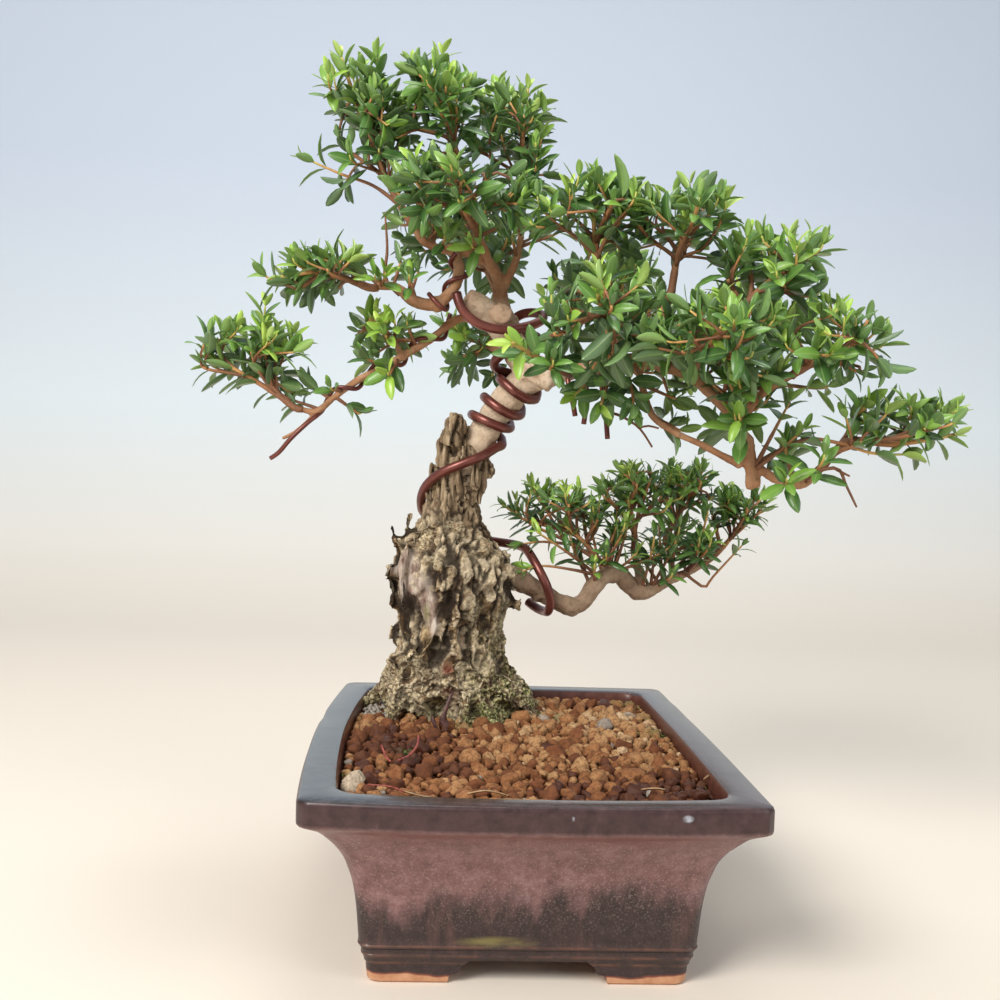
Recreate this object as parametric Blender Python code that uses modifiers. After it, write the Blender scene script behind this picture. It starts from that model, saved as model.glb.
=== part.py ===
"""Myrtle bonsai, trained with wire, in a glazed rectangular pot.

Measures in this file are millimetres and become metres where a mesh is made. x runs across the
pot's short side, y along its long side, away from the viewer, and z up from the pot's feet.
Wood routes are lists of (x, y, z, radius). At the end everything is moved so that the origin is
under the middle of the whole plant.
"""

import math
import random

import bmesh
import bpy
from mathutils import Matrix, Vector, noise
from mathutils.bvhtree import BVHTree

MM = 0.001
GAP = 0.3

POT_WIDTH = 165.0
POT_DEPTH = 230.0
POT_HEIGHT = 71.8
POT_FLOOR = 15.0
POT_UNDERSIDE = 8.3
POT_CORNER = 5.0
POT_INNER_CORNER = 9.0
# How far each hand-made side bulges at the rim: right, left, back, front.
POT_BOWS = (1.0, 5.0, 1.0, 5.0)
# Inset from the rim's edge, and height, from the feet up to the rim.
POT_OUTSIDE = [
    (24.6, 0.0), (24.0, 4.0), (23.7, 7.3), (22.8, 9.2), (21.9, 13.0), (21.3, 14.5), (20.0, 27.8),
    (18.5, 37.0), (16.8, 43.0), (15.0, 47.8), (11.8, 52.8), (9.1, 56.0), (6.4, 58.8), (3.3, 60.7),
    (0.5, 62.3), (0.0, 64.0), (0.0, 70.3), (1.5, POT_HEIGHT),
]
# The same from the rim down the inner wall to the floor.
POT_INSIDE = [
    (11.5, POT_HEIGHT), (13.0, 70.4), (14.0, 62.0), (18.5, 54.0), (23.0, 46.0), (26.0, 37.0),
    (27.5, 26.0), (29.0, 18.0), (32.0, POT_FLOOR),
]
FOOT_INNER = 33.0
# Half widths and heights of the gap between two feet on the front, and what the long sides add.
FOOT_GAP = [(29.5, -2.0), (28.5, 3.0), (25.0, 4.2), (24.0, 6.6), (21.0, 8.9)]
FOOT_GAP_LONG_EXTRA = 24.0

DRAIN_RADIUS = 11.0
DRAIN_OFFSET = 50.0
SCREEN_SIZE = 34.0
SCREEN_CELLS = 5
SCREEN_THICKNESS = 1.2
STAPLE_RADIUS = 0.6
SCREEN_POCKET = 38.0
SCREEN_POCKET_TOP = 19.0

SOIL_TOP = 65.5
SOIL_GAP = 0.6
SOIL_HEADROOM = 6.0
SOIL_DOME = 2.2
GRANULE_SPACING = 6.8
GRANULE_HIGH = (1.2, 2.6)
GRANULE_LOW = (-1.6, -0.5)

# Height, then the left, right, front and back faces of the old trunk.
TRUNK_SECTIONS = [
    (67.0, -53.0, 12.5, 36.0, 93.0), (73.0, -57.0, 10.5, 37.0, 92.0), (83.0, -59.0, 4.5, 39.0, 89.0),
    (98.0, -56.0, -6.5, 40.0, 86.0), (114.0, -57.0, -3.5, 38.0, 88.0), (124.0, -59.5, -1.0, 36.5, 89.0),
    (134.0, -62.0, -0.5, 36.5, 88.0), (144.0, -59.5, -2.5, 39.0, 86.0), (152.0, -54.0, -9.0, 42.0, 83.0),
    (160.0, -47.5, -15.0, 46.0, 79.0), (169.0, -42.5, -19.5, 49.0, 76.0), (180.0, -40.5, -18.0, 51.0, 74.0),
    (191.0, -37.0, -17.0, 52.0, 71.0), (199.0, -33.5, -18.5, 54.0, 69.0), (205.0, -31.5, -21.0, 57.0, 66.0),
]
TRUNK_SIDES = 24
PLUG_BOTTOM = 50.0
PLUG_TOP = 62.0
PLUG_TAPER = 0.74
PLUG_GAP = 0.9
# How far the hole in the soil stands off the roots above the granules.
HOLE_FLARE = 3.0
# Directions in which the root flare reaches out, in degrees from +x.
ROOT_ANGLES = (-14.0, 62.0, 128.0, 183.0, 237.0, 292.0)
ROOT_WIDTH = 16.0
ROOT_HEIGHT = 26.0

LIMBS = {
    "neck": [(-26, 61, 176, 8.4), (-20, 60, 194, 7.8), (-13, 57, 209, 7.2), (-5.5, 54, 219, 7.0),
             (0.5, 51, 226, 7.2), (8, 46, 231, 7.4)],
    "right": [(4, 48, 229, 7.4), (14, 43, 232, 6.6), (24, 38, 233, 5.4), (39, 28, 235, 4.4), (55, 18, 235, 3.8),
              (71, 8, 229, 3.3), (84, 0, 216, 2.8), (93, -4, 203, 3.2), (96, -6, 190, 3.4),
              (97, -6, 181, 2.4)],
    "right_low": [(95, -5, 193, 2.5), (108, -8, 184, 2.3), (118, -10, 183, 2.2), (125, -11, 190, 2.0)],
    "cross": [(50, 19, 232, 2.2), (54, 5, 212, 1.9), (63, 0, 204, 1.8), (74, -3, 199, 1.8),
              (92, -6, 190, 2.2)],
    "crown": [(4, 47, 228, 7.0), (-3, 50, 241, 6.4), (-9, 52, 252, 5.8), (-11, 52, 265, 4.0),
              (-13, 51, 276, 3.4), (-22, 49, 285, 3.0), (-35, 47, 286, 2.7), (-47, 45, 289, 2.3),
              (-54, 44, 298, 2.0)],
    "u_limb": [(-34, 47, 288, 2.6), (-31, 44, 277, 3.1), (-34, 41, 267, 3.2), (-41, 39, 260, 3.4),
               (-51, 38, 261, 3.3), (-60, 37, 267, 2.6), (-70, 35, 266, 2.0)],
    "top": [(-21, 49, 284, 2.6), (-25, 48, 296, 2.3), (-27, 47, 308, 2.1), (-29, 46, 316, 1.9)],
    "top_right": [(-11, 51, 268, 2.8), (-6, 50, 279, 2.4), (-3, 52, 289, 2.1), (-2, 55, 299, 1.9)],
    "crown_front": [(-15, 51, 279, 2.6), (-20, 36, 286, 2.2), (-24, 24, 291, 1.9)],
    "crown_back": [(-12, 52, 268, 2.8), (-16, 72, 280, 2.3), (-22, 86, 289, 2.0)],
    "left": [(-8, 56, 250, 3.0), (-21, 56, 255, 2.8), (-31, 52, 255, 2.5), (-43, 48, 245, 2.3),
             (-56, 44, 236, 2.2), (-67, 42, 229, 2.1), (-76, 40, 224, 2.0), (-86, 38, 216, 1.9),
             (-94, 36, 209, 1.8), (-102, 36, 210, 1.7)],
    "left_hook": [(-92, 37, 211, 1.5), (-101, 36, 201, 1.3), (-109, 35, 196, 1.0)],
    "left_knee": [(-56, 44, 236, 1.9), (-60, 46, 243, 1.6)],
    "cut_stub": [(-6, 50, 246, 6.6), (-18, 45, 258, 6.0), (-27, 42, 263, 5.2)],
    "front_stub": [(-9, 51, 254, 5.6), (-11, 38, 257, 5.0)],
    "back": [(-3, 50, 240, 3.2), (-7, 75, 244, 2.6), (-12, 92, 246, 2.2)],
    "up_left": [(34, 31, 235, 3.0), (34, 20, 252, 2.5), (31, 12, 268, 2.1)],
    "up_mid": [(55, 18, 235, 3.2), (57, 13, 250, 2.7), (61, 8, 263, 2.2)],
    "up_right": [(71, 8, 229, 2.9), (79, 0, 243, 2.5), (87, -8, 254, 2.1)],
    "far_up": [(90, -3, 208, 2.5), (98, -15, 221, 2.2), (109, -23, 229, 1.9)],
    "front_left": [(39, 28, 235, 2.8), (35, 8, 240, 2.3), (31, -8, 245, 2.0)],
    "front_mid": [(71, 8, 229, 2.8), (70, -9, 231, 2.3), (70, -20, 234, 2.0)],
    "back_left": [(39, 28, 235, 3.0), (44, 50, 252, 2.5), (47, 66, 266, 2.1)],
    "back_right": [(55, 18, 235, 3.0), (76, 42, 245, 2.5), (96, 58, 252, 2.1)],
    "shoot_knee": [(24, 38, 233, 2.4), (21, 24, 229, 1.9)],
    "low": [(-10, 60, 137, 6.2), (4, 67, 131.5, 5.2), (14, 70, 126, 4.8), (23, 72, 121, 4.7),
            (30, 74, 119, 4.7), (36, 76, 121.5, 4.6), (41, 78, 128.5, 4.5), (47, 81, 133.5, 4.5),
            (54, 84, 134.5, 4.5), (60, 87, 129, 4.5), (66, 89, 125, 4.4), (73, 91, 127, 3.8),
            (82, 94, 131.5, 3.1), (92, 97, 135.5, 2.5), (100, 99, 140, 2.2)],
    "low_left": [(50, 83, 134.5, 2.2), (44, 82, 141, 1.8)],
    "low_mid": [(66, 89, 126, 3.0), (65, 90, 136, 2.5), (63, 90, 144, 2.0)],
    "low_right": [(84, 95, 133, 2.4), (82, 95, 143, 2.0), (80, 96, 151, 1.8)],
}

# Each leafy spray: the limb whose end it grows from, its stem's further points, the middle and the
# half sizes of the room that its leaves fill, and its number of twigs.
SPRAYS = {
    "crown_left": ("crown", [(-66, 46, 318), (-78, 47, 345), (-88, 45, 372)], (-78, 48, 340),
                   (25, 27, 34), 5),
    "crown_mid": ("top", [(-35, 44, 334), (-44, 42, 353), (-55, 42, 370)], (-45, 41, 345),
                  (24, 29, 29), 5),
    "crown_right": ("top_right", [(-2, 57, 318), (-3, 57, 340), (-1, 56, 365)], (-8, 58, 339),
                    (25, 28, 30), 5),
    "crown_front": ("crown_front", [(-29, 14, 297), (-34, 2, 304)], (-32, 8, 303), (34, 24, 19), 4),
    "crown_back": ("crown_back", [(-28, 98, 296), (-34, 108, 303)], (-30, 102, 302), (34, 24, 22), 4),
    "left_upper": ("u_limb", [(-84, 36, 270), (-98, 38, 272), (-112, 40, 270)], (-92, 40, 268),
                   (34, 25, 15), 4),
    "left_inner": ("left_knee", [(-66, 48, 249), (-72, 50, 254)], (-68, 48, 245), (22, 18, 12), 2),
    "left_lower": ("left", [(-112, 36, 216), (-126, 36, 224), (-140, 36, 231)], (-124, 36, 230),
                   (34, 22, 19), 4),
    "canopy_top_left": ("up_left", [(28, 8, 282), (26, 6, 296)], (26, 8, 293), (31, 31, 22), 4),
    "canopy_top_mid": ("up_mid", [(63, 4, 279), (66, 2, 294)], (64, 2, 288), (30, 32, 24), 4),
    "canopy_top_right": ("up_right", [(96, -12, 265), (106, -14, 274)], (102, -12, 270), (32, 30, 20), 4),
    "canopy_right": ("far_up", [(119, -27, 235), (130, -30, 240)], (124, -28, 238), (28, 29, 21), 4),
    "canopy_front_left": ("front_left", [(28, -22, 251), (24, -34, 257)], (24, -30, 246),
                          (29, 28, 26), 5),
    "canopy_front_mid": ("front_mid", [(70, -34, 238), (72, -46, 244)], (72, -40, 238), (30, 28, 22), 4),
    "far_right": ("right_low", [(136, -13, 202), (152, -16, 201), (166, -18, 203), (180, -18, 206)],
                  (154, -16, 206), (36, 22, 15), 4),
    "canopy_back_left": ("back_left", [(46, 80, 277), (44, 92, 284)], (42, 84, 280), (36, 30, 20), 4),
    "canopy_back_right": ("back_right", [(108, 67, 256), (120, 74, 260)], (112, 72, 258),
                          (34, 32, 20), 4),
    "back_low": ("back", [(-16, 108, 249), (-22, 120, 254)], (-18, 114, 250), (28, 22, 18), 3),
    "front_shoot": ("shoot_knee", [(16, 6, 228), (4, -16, 231), (-10, -36, 236)], (4, -24, 232),
                    (18, 20, 9), 1),
    "low_left": ("low_left", [(36, 81, 150), (26, 79, 158)], (24, 82, 162), (32, 28, 17), 4),
    "low_mid": ("low_mid", [(62, 88, 158), (58, 86, 172)], (60, 84, 174), (26, 30, 16), 3),
    "low_right": ("low_right", [(84, 97, 162), (88, 97, 174)], (88, 98, 175), (24, 30, 17), 3),
    "low_tip": ("low", [(110, 101, 148), (118, 102, 158)], (118, 101, 164), (20, 24, 16), 3),
}

LEAF_LENGTH = 14.5
LEAF_WIDTH = 6.2
LEAF_THICKNESS = 1.1
LEAF_ANGLE = math.radians(58)
LEAF_SPACING = 13.0
LEAF_ROOT = 0.9
SMALL_LEAF = 0.74
STEM_TIP_RADIUS = 0.9
TWIG_RADIUS = 0.8
TWIG_TIP_RADIUS = 0.6
TEST_GROWTH = 1.1
GOLDEN_ANGLE = math.pi * (3.0 - math.sqrt(5.0))

WIRE_RADIUS = 2.25
THIN_WIRE_RADIUS = 1.05
WIRE_GAP = 0.42
COIL_SLACK = 0.6
# The thick wire's way round the cut stub, and from its coils down to the low branch.
WIRE_ROUND_STUB = [
    (-32, 35, 265), (-31, 33.5, 258), (-26, 33.5, 252.5), (-18, 34, 249), (-9, 34.5, 248.5), (0, 37, 250.5),
    (8, 43, 254), (11, 50, 258), (6, 58, 261), (-2, 63, 260.5), (-7, 64, 256), (-2, 63, 251), (6, 57, 249.5),
    (8.5, 49, 247.5), (4, 42.5, 245), (-3, 40.5, 242.5), (-10, 41, 239), (-14.5, 46, 235.5), (-13.5, 54, 232.5),
    (-6, 60, 230.5),
]
WIRE_DOWN_TRUNK = [
    (-10.5, 50.5, 196), (-16, 47.5, 191.5), (-26, 46, 187.5), (-36, 48, 183.5), (-42.5, 53.5, 178.5), (-46, 61.5, 172),
    (-45, 71, 164), (-38.5, 81.5, 157), (-28, 88.5, 152), (-12, 91, 149), (1, 86, 148), (6.5, 76, 147.5), (9, 67, 143),
    (13, 61.5, 136), (17, 61, 129), (19.5, 64.5, 121.5), (18.5, 71.5, 115.5), (13.5, 79, 116), (9, 83.5, 119.5),
]
# Each coil: its turns, points a turn, start angle in degrees, and the part of its limb that it covers.
TRUNK_COIL = (3.25, 10, 270, (0.09, 0.62))
LEFT_COIL = (3.2, 10, 200, (0.14, 0.88))
CROWN_COIL = (2.2, 8, 90, (0.12, 0.62))
# The thin wire's end, which leaves the left limb and hangs below its dead tip.
THIN_WIRE_TAIL = [(-95, 31, 206), (-101, 31, 200), (-106, 31, 195), (-110, 33, 189), (-114, 35, 187)]


def clear_scene():
    """Take away whatever the file already shows."""
    for item in list(bpy.data.objects):
        bpy.data.objects.remove(item, do_unlink=True)


def new_collection(name):
    """Make a collection that hangs under the scene."""
    group = bpy.data.collections.new(name)
    bpy.context.scene.collection.children.link(group)
    return group


def material(name, colour, roughness, metallic=0.0):
    """A plain Principled material for one sub-part."""
    made = bpy.data.materials.new(name)
    made.use_nodes = True
    shader = made.node_tree.nodes["Principled BSDF"]
    shader.inputs["Base Color"].default_value = (*colour, 1.0)
    shader.inputs["Roughness"].default_value = roughness
    shader.inputs["Metallic"].default_value = metallic
    return made


def place_mesh(name, mesh, group, look=None):
    """Put a mesh in the scene as an object of its own."""
    item = bpy.data.objects.new(name, mesh)
    if look:
        mesh.materials.clear()
        mesh.materials.append(look)
    group.objects.link(item)
    return item


def finish_bmesh(name, form):
    """Turn a bmesh in millimetres into a mesh in metres with its faces out."""
    bmesh.ops.recalc_face_normals(form, faces=form.faces)
    bmesh.ops.scale(form, vec=(MM, MM, MM), verts=form.verts)
    mesh = bpy.data.meshes.new(name)
    form.to_mesh(mesh)
    form.free()
    return mesh


def loft(name, rings):
    """Skin a stack of rings that have the same number of points, with flat ends."""
    form = bmesh.new()
    made = [[form.verts.new(point) for point in ring] for ring in rings]
    for lower, upper in zip(made, made[1:]):
        for i in range(len(lower)):
            j = (i + 1) % len(lower)
            form.faces.new((lower[i], lower[j], upper[j], upper[i]))
    form.faces.new(made[0])
    form.faces.new(made[-1])
    return finish_bmesh(name, form)


def prism(name, outline, low, high, axis="z"):
    """A straight prism of an outline, along z, or along x or y for an outline in that upright plane."""
    rings = []
    for w in (low, high):
        if axis == "z":
            rings.append([(u, v, w) for u, v in outline])
        elif axis == "y":
            rings.append([(u, w, v) for u, v in outline])
        else:
            rings.append([(w, u, v) for u, v in outline])
    return loft(name, rings)


def evaluated_mesh(item):
    """The mesh of an object with its modifiers, or of a curve with its thickness."""
    bpy.context.view_layer.update()
    seen = item.evaluated_get(bpy.context.evaluated_depsgraph_get())
    return bpy.data.meshes.new_from_object(seen)


def boolean(item, operation, other, solver="EXACT"):
    """Cut, join or intersect an object with an object or a whole collection, and apply it."""
    step = item.modifiers.new("boolean", "BOOLEAN")
    step.operation = operation
    step.solver = solver
    if isinstance(other, bpy.types.Collection):
        step.operand_type = "COLLECTION"
        step.collection = other
    else:
        step.object = other
    mesh = evaluated_mesh(item)
    item.modifiers.clear()
    item.data = mesh


def cutter(name, mesh, group):
    """A guide solid that only cuts others."""
    item = place_mesh(name, mesh, group)
    item.hide_render = True
    item.display_type = "WIRE"
    return item


def keep_largest_body(mesh):
    """Drop loose scraps and sealed hollows, so that the mesh is one body."""
    form = bmesh.new()
    form.from_mesh(mesh)
    bmesh.ops.triangulate(form, faces=form.faces)
    waiting = set(form.faces)
    bodies = []
    while waiting:
        front = [waiting.pop()]
        body = set(front)
        while front:
            for edge in front.pop().edges:
                for near in edge.link_faces:
                    if near not in body and len(edge.link_faces) == 2:
                        body.add(near)
                        waiting.discard(near)
                        front.append(near)
        bodies.append(body)
    bodies.sort(key=len)
    for body in bodies[:-1]:
        bmesh.ops.delete(form, geom=list(body), context="FACES")
    form.to_mesh(mesh)
    form.free()


def tube_mesh(name, route, sides=8):
    """A round tapering tube through (x, y, z, radius) points, closed at both ends."""
    curve = bpy.data.curves.new(name, "CURVE")
    curve.dimensions = "3D"
    curve.bevel_depth = MM
    curve.bevel_resolution = sides // 2 - 2
    curve.use_fill_caps = True
    spline = curve.splines.new("POLY")
    spline.points.add(len(route) - 1)
    for point, (x, y, z, radius) in zip(spline.points, route):
        point.co = (x * MM, y * MM, z * MM, 1.0)
        point.radius = radius
    item = bpy.data.objects.new(name, curve)
    bpy.context.scene.collection.objects.link(item)
    mesh = evaluated_mesh(item)
    bpy.data.objects.remove(item, do_unlink=True)
    form = bmesh.new()
    form.from_mesh(mesh)
    bmesh.ops.remove_doubles(form, verts=form.verts, dist=0.00001)
    bmesh.ops.recalc_face_normals(form, faces=form.faces)
    form.to_mesh(mesh)
    form.free()
    return mesh


def surface_tree(mesh, matrix=None):
    """A search tree of a mesh's faces, in metres."""
    matrix = matrix or Matrix()
    points = [matrix @ vertex.co for vertex in mesh.vertices]
    return BVHTree.FromPolygons(points, [tuple(face.vertices) for face in mesh.polygons])


def ring_points(inset, z, corner):
    """One level of the pot: a rectangle with round corners and sides that bulge more near the rim."""
    half_x = POT_WIDTH / 2 - inset
    half_y = POT_DEPTH / 2 - inset
    centres = [(half_x - corner, half_y - corner), (corner - half_x, half_y - corner),
               (corner - half_x, corner - half_y), (half_x - corner, corner - half_y)]
    outline = []
    for quarter, (cx, cy) in enumerate(centres):
        for step in range(4):
            angle = math.radians(90 * quarter + 30 * step)
            outline.append(Vector((cx + corner * math.cos(angle), cy + corner * math.sin(angle))))
        nx, ny = centres[(quarter + 1) % 4]
        angle = math.radians(90 * quarter + 90)
        end = Vector((nx + corner * math.cos(angle), ny + corner * math.sin(angle)))
        start = outline[-1].copy()
        for part in (0.33, 0.67):
            outline.append(start.lerp(end, part))
    rise = min(max((z - POT_FLOOR) / (POT_HEIGHT - POT_FLOOR), 0.0), 1.0)
    right, left, back, front = (bow * rise for bow in POT_BOWS)
    ring = []
    for point in outline:
        across = point.x / half_x
        along = point.y / half_y
        x = point.x + across * (1 - along * along) * (right if across > 0 else left)
        y = point.y + along * (1 - across * across) * (back if along > 0 else front)
        ring.append((x, y, z))
    return ring


def make_pot(group, cutters):
    """The glazed pot: one lofted body with feet, an open underside and two drain holes."""
    rings = [ring_points(FOOT_INNER + 1.0, POT_UNDERSIDE, POT_CORNER)]
    rings.append(ring_points(FOOT_INNER, 0.0, POT_CORNER))
    rings += [ring_points(inset, z, POT_CORNER) for inset, z in POT_OUTSIDE]
    rings += [ring_points(inset, z, POT_INNER_CORNER) for inset, z in POT_INSIDE]
    pot = place_mesh("pot", loft("pot", rings), group)
    short = [(half, z) for half, z in FOOT_GAP]
    short += [(-half, z) for half, z in reversed(FOOT_GAP)]
    long_side = [(u + math.copysign(FOOT_GAP_LONG_EXTRA, u), z) for u, z in short]
    reach = POT_DEPTH
    cuts = [prism("front_and_back_gap", short, -reach, reach, "y"),
            prism("left_and_right_gap", long_side, -reach, reach, "x")]
    for mesh in cuts:
        boolean(pot, "DIFFERENCE", cutter(mesh.name, mesh, cutters))
    for side in (-1, 1):
        bpy.ops.mesh.primitive_cylinder_add(
            vertices=20, radius=DRAIN_RADIUS * MM, depth=2 * POT_FLOOR * MM,
            location=(0, side * DRAIN_OFFSET * MM, POT_FLOOR * MM))
        hole = bpy.context.object
        mesh = hole.data.copy()
        mesh.transform(Matrix.Translation(hole.location))
        bpy.data.objects.remove(hole, do_unlink=True)
        boolean(pot, "DIFFERENCE", cutter("drain_hole", mesh, cutters))
    pot.data.materials.clear()
    pot.data.materials.append(material("glaze", (0.16, 0.09, 0.09), 0.35))
    return pot


def make_drain_fittings(group):
    """A plastic screen over each drain hole, and the bent wire that holds it."""
    screen_look = material("screen_plastic", (0.02, 0.02, 0.02), 0.6)
    wire_look = material("staple_wire", (0.55, 0.55, 0.56), 0.35, 1.0)
    made = []
    for word, side in (("front", -1), ("back", 1)):
        form = bmesh.new()
        bmesh.ops.create_grid(form, x_segments=SCREEN_CELLS, y_segments=SCREEN_CELLS, size=SCREEN_SIZE / 2)
        cell = SCREEN_SIZE / SCREEN_CELLS
        holes = []
        for face in form.faces:
            column = int((face.calc_center_median().x + SCREEN_SIZE / 2) / cell)
            row = int((face.calc_center_median().y + SCREEN_SIZE / 2) / cell)
            if column % 2 and row % 2:
                holes.append(face)
        bmesh.ops.delete(form, geom=holes, context="FACES")
        bottom = POT_FLOOR + GAP
        bmesh.ops.translate(form, vec=(0, side * DRAIN_OFFSET, bottom), verts=form.verts)
        screen = place_mesh(f"drain_screen_{word}", finish_bmesh("screen", form), group)
        shell = screen.modifiers.new("thickness", "SOLIDIFY")
        shell.thickness = SCREEN_THICKNESS * MM
        shell.offset = 1.0
        screen.data = evaluated_mesh(screen)
        screen.modifiers.clear()
        screen.data.materials.append(screen_look)
        top = bottom + SCREEN_THICKNESS + GAP + STAPLE_RADIUS
        low = POT_UNDERSIDE - GAP - STAPLE_RADIUS
        y = side * DRAIN_OFFSET + cell
        route = [(-17, y, low), (-8, y, low), (-cell, y, low + 1.2), (-cell, y, top - 1), (1 - cell, y, top)]
        route += [(-x, y, z) for x, y, z in reversed(route)]
        wire = tube_mesh("staple", [(*point, STAPLE_RADIUS) for point in route], 6)
        made += [screen, place_mesh(f"screen_wire_{word}", wire, group, wire_look)]
    return made


def trunk_outline(section, flare=0.0, shrink=1.0, grow=0.0):
    """The old trunk's outline at one height, with its grooves and root lobes."""
    z, left, right, front, back = section
    cx = (left + right) / 2
    cy = (front + back) / 2
    outline = []
    for i in range(TRUNK_SIDES):
        angle = 2 * math.pi * i / TRUNK_SIDES
        c = math.cos(angle)
        s = math.sin(angle)
        half_x = (right - left) / 2
        half_y = (back - front) / 2
        radius = 1.0 / math.sqrt((c / half_x) ** 2 + (s / half_y) ** 2)
        ridge = noise.noise(Vector((3.1 * c, 3.1 * s, z * 0.012)))
        knot = noise.noise(Vector((1.9 * c + 7, 1.9 * s, z * 0.05)))
        lobe = -0.45
        for root in ROOT_ANGLES:
            away = (math.degrees(angle) - root + 180) % 360 - 180
            lobe = max(lobe, math.exp(-(away / ROOT_WIDTH) ** 2) - 0.45)
        radius *= 1 + 0.10 * ridge + 0.08 * knot + 0.26 * flare * lobe
        radius = radius * shrink + grow
        outline.append((cx + radius * c, cy + radius * s))
    return outline


def level(outline, z):
    """An outline's points at one height."""
    return [(x, y, z) for x, y in outline]


def plug_rings(grow, bottom, top):
    """The buried end of the trunk, or with some growth the hole that it stands in."""
    base = TRUNK_SECTIONS[0]
    narrow = trunk_outline(base, 1.0, PLUG_TAPER, grow)
    wide = trunk_outline(base, 1.0, 1.0, grow)
    return [level(narrow, bottom), level(wide, PLUG_TOP), level(wide, top)]


def make_trunk(group, guides):
    """The old trunk with its root flare and every limb, joined into one body."""
    base = TRUNK_SECTIONS[0]
    rings = plug_rings(0.0, PLUG_BOTTOM, base[0])
    for section in TRUNK_SECTIONS[1:]:
        flare = max(0.0, 1.0 - (section[0] - base[0]) / ROOT_HEIGHT)
        rings.append(level(trunk_outline(section, flare), section[0]))
    trunk = place_mesh("trunk", loft("trunk", rings), group)
    for name, route in LIMBS.items():
        place_mesh(name, tube_mesh(name, route, 8 if route[0][3] > 5 else 6), guides)
    boolean(trunk, "UNION", guides, "MANIFOLD")
    for item in list(guides.objects):
        bpy.data.objects.remove(item, do_unlink=True)
    keep_largest_body(trunk.data)
    trunk.data.materials.clear()
    trunk.data.materials.append(material("bark", (0.30, 0.25, 0.19), 0.85))
    return trunk


def soil_height(x, y):
    """Height of the soil without its granules: a low mound towards the trunk."""
    away = math.hypot((x + 22) / 75, (y - 62) / 110)
    return SOIL_TOP + SOIL_DOME * math.exp(-away * away)


def make_soil(group, cutters, draw):
    """Granules filling the pot, with a plain hole for the trunk and room for the drain fittings."""
    inside = [(inset + SOIL_GAP, z) for inset, z in POT_INSIDE[1:]]
    rings = [ring_points(inside[0][0], POT_HEIGHT + SOIL_HEADROOM, POT_INNER_CORNER)]
    rings += [ring_points(inset, z, POT_INNER_CORNER) for inset, z in inside[:-1]]
    rings.append(ring_points(inside[-1][0], POT_FLOOR + GAP, POT_INNER_CORNER))
    soil = place_mesh("soil", loft("soil", rings), group)

    columns = int(POT_WIDTH / GRANULE_SPACING) + 2
    rows = int(POT_DEPTH / GRANULE_SPACING) + 2
    form = bmesh.new()
    top = []
    for row in range(rows + 1):
        line = []
        for column in range(columns + 1):
            x = (column - columns / 2) * GRANULE_SPACING
            y = (row - rows / 2) * GRANULE_SPACING
            high = (row + column) % 2 == 0
            z = soil_height(x, y) + draw.uniform(*(GRANULE_HIGH if high else GRANULE_LOW))
            slide = 0.22 * GRANULE_SPACING
            if 0 < row < rows and 0 < column < columns:
                x += draw.uniform(-slide, slide)
                y += draw.uniform(-slide, slide)
            line.append(form.verts.new((x, y, z)))
        top.append(line)
    for row in range(rows):
        for column in range(columns):
            a, b = top[row][column], top[row][column + 1]
            c, d = top[row + 1][column + 1], top[row + 1][column]
            # The fold runs between the two low corners, so each high corner is a granule.
            if (row + column) % 2 == 0:
                form.faces.new((a, b, d))
                form.faces.new((b, c, d))
            else:
                form.faces.new((a, b, c))
                form.faces.new((a, c, d))
    edge = [edge for edge in form.edges if edge.is_boundary]
    skirt = bmesh.ops.extrude_edge_only(form, edges=edge)
    lower = [item for item in skirt["geom"] if isinstance(item, bmesh.types.BMVert)]
    for vertex in lower:
        vertex.co.z = POT_UNDERSIDE
    bottom = [item for item in skirt["geom"] if isinstance(item, bmesh.types.BMEdge)]
    bmesh.ops.contextual_create(form, geom=bottom)
    sheet = cutter("granules", finish_bmesh("granules", form), cutters)
    boolean(soil, "INTERSECT", sheet)

    base = TRUNK_SECTIONS[0]
    hole = plug_rings(PLUG_GAP, PLUG_BOTTOM - GAP, base[0])
    hole.append(level(trunk_outline(base, 1.0, 1.0, HOLE_FLARE), POT_HEIGHT + SOIL_HEADROOM))
    plug = cutter("trunk_hole", loft("trunk_hole", hole), cutters)
    boolean(soil, "DIFFERENCE", plug)
    half = SCREEN_POCKET / 2
    for side in (-1, 1):
        near = side * DRAIN_OFFSET - half
        far = side * DRAIN_OFFSET + half
        square = [(-half, near), (half, near), (half, far), (-half, far)]
        room = prism("screen_pocket", square, POT_UNDERSIDE, SCREEN_POCKET_TOP)
        boolean(soil, "DIFFERENCE", cutter("screen_pocket", room, cutters))
    keep_largest_body(soil.data)
    soil.data.materials.clear()
    soil.data.materials.append(material("granules", (0.45, 0.20, 0.08), 0.95))
    return soil


def frame_along(direction, spin=0.0):
    """A turn whose z axis runs along a direction, spun about it."""
    return direction.to_track_quat("Z", "Y").to_matrix() @ Matrix.Rotation(spin, 3, "Z")


def between(p, q, r, s, t):
    """A value on the smooth curve from q to r, whose neighbours are p and s."""
    cubic = (3 * q - p - 3 * r + s) * t
    return 0.5 * (2 * q + ((r - p) + ((2 * p - 5 * q + 4 * r - s) + cubic) * t) * t)


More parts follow.
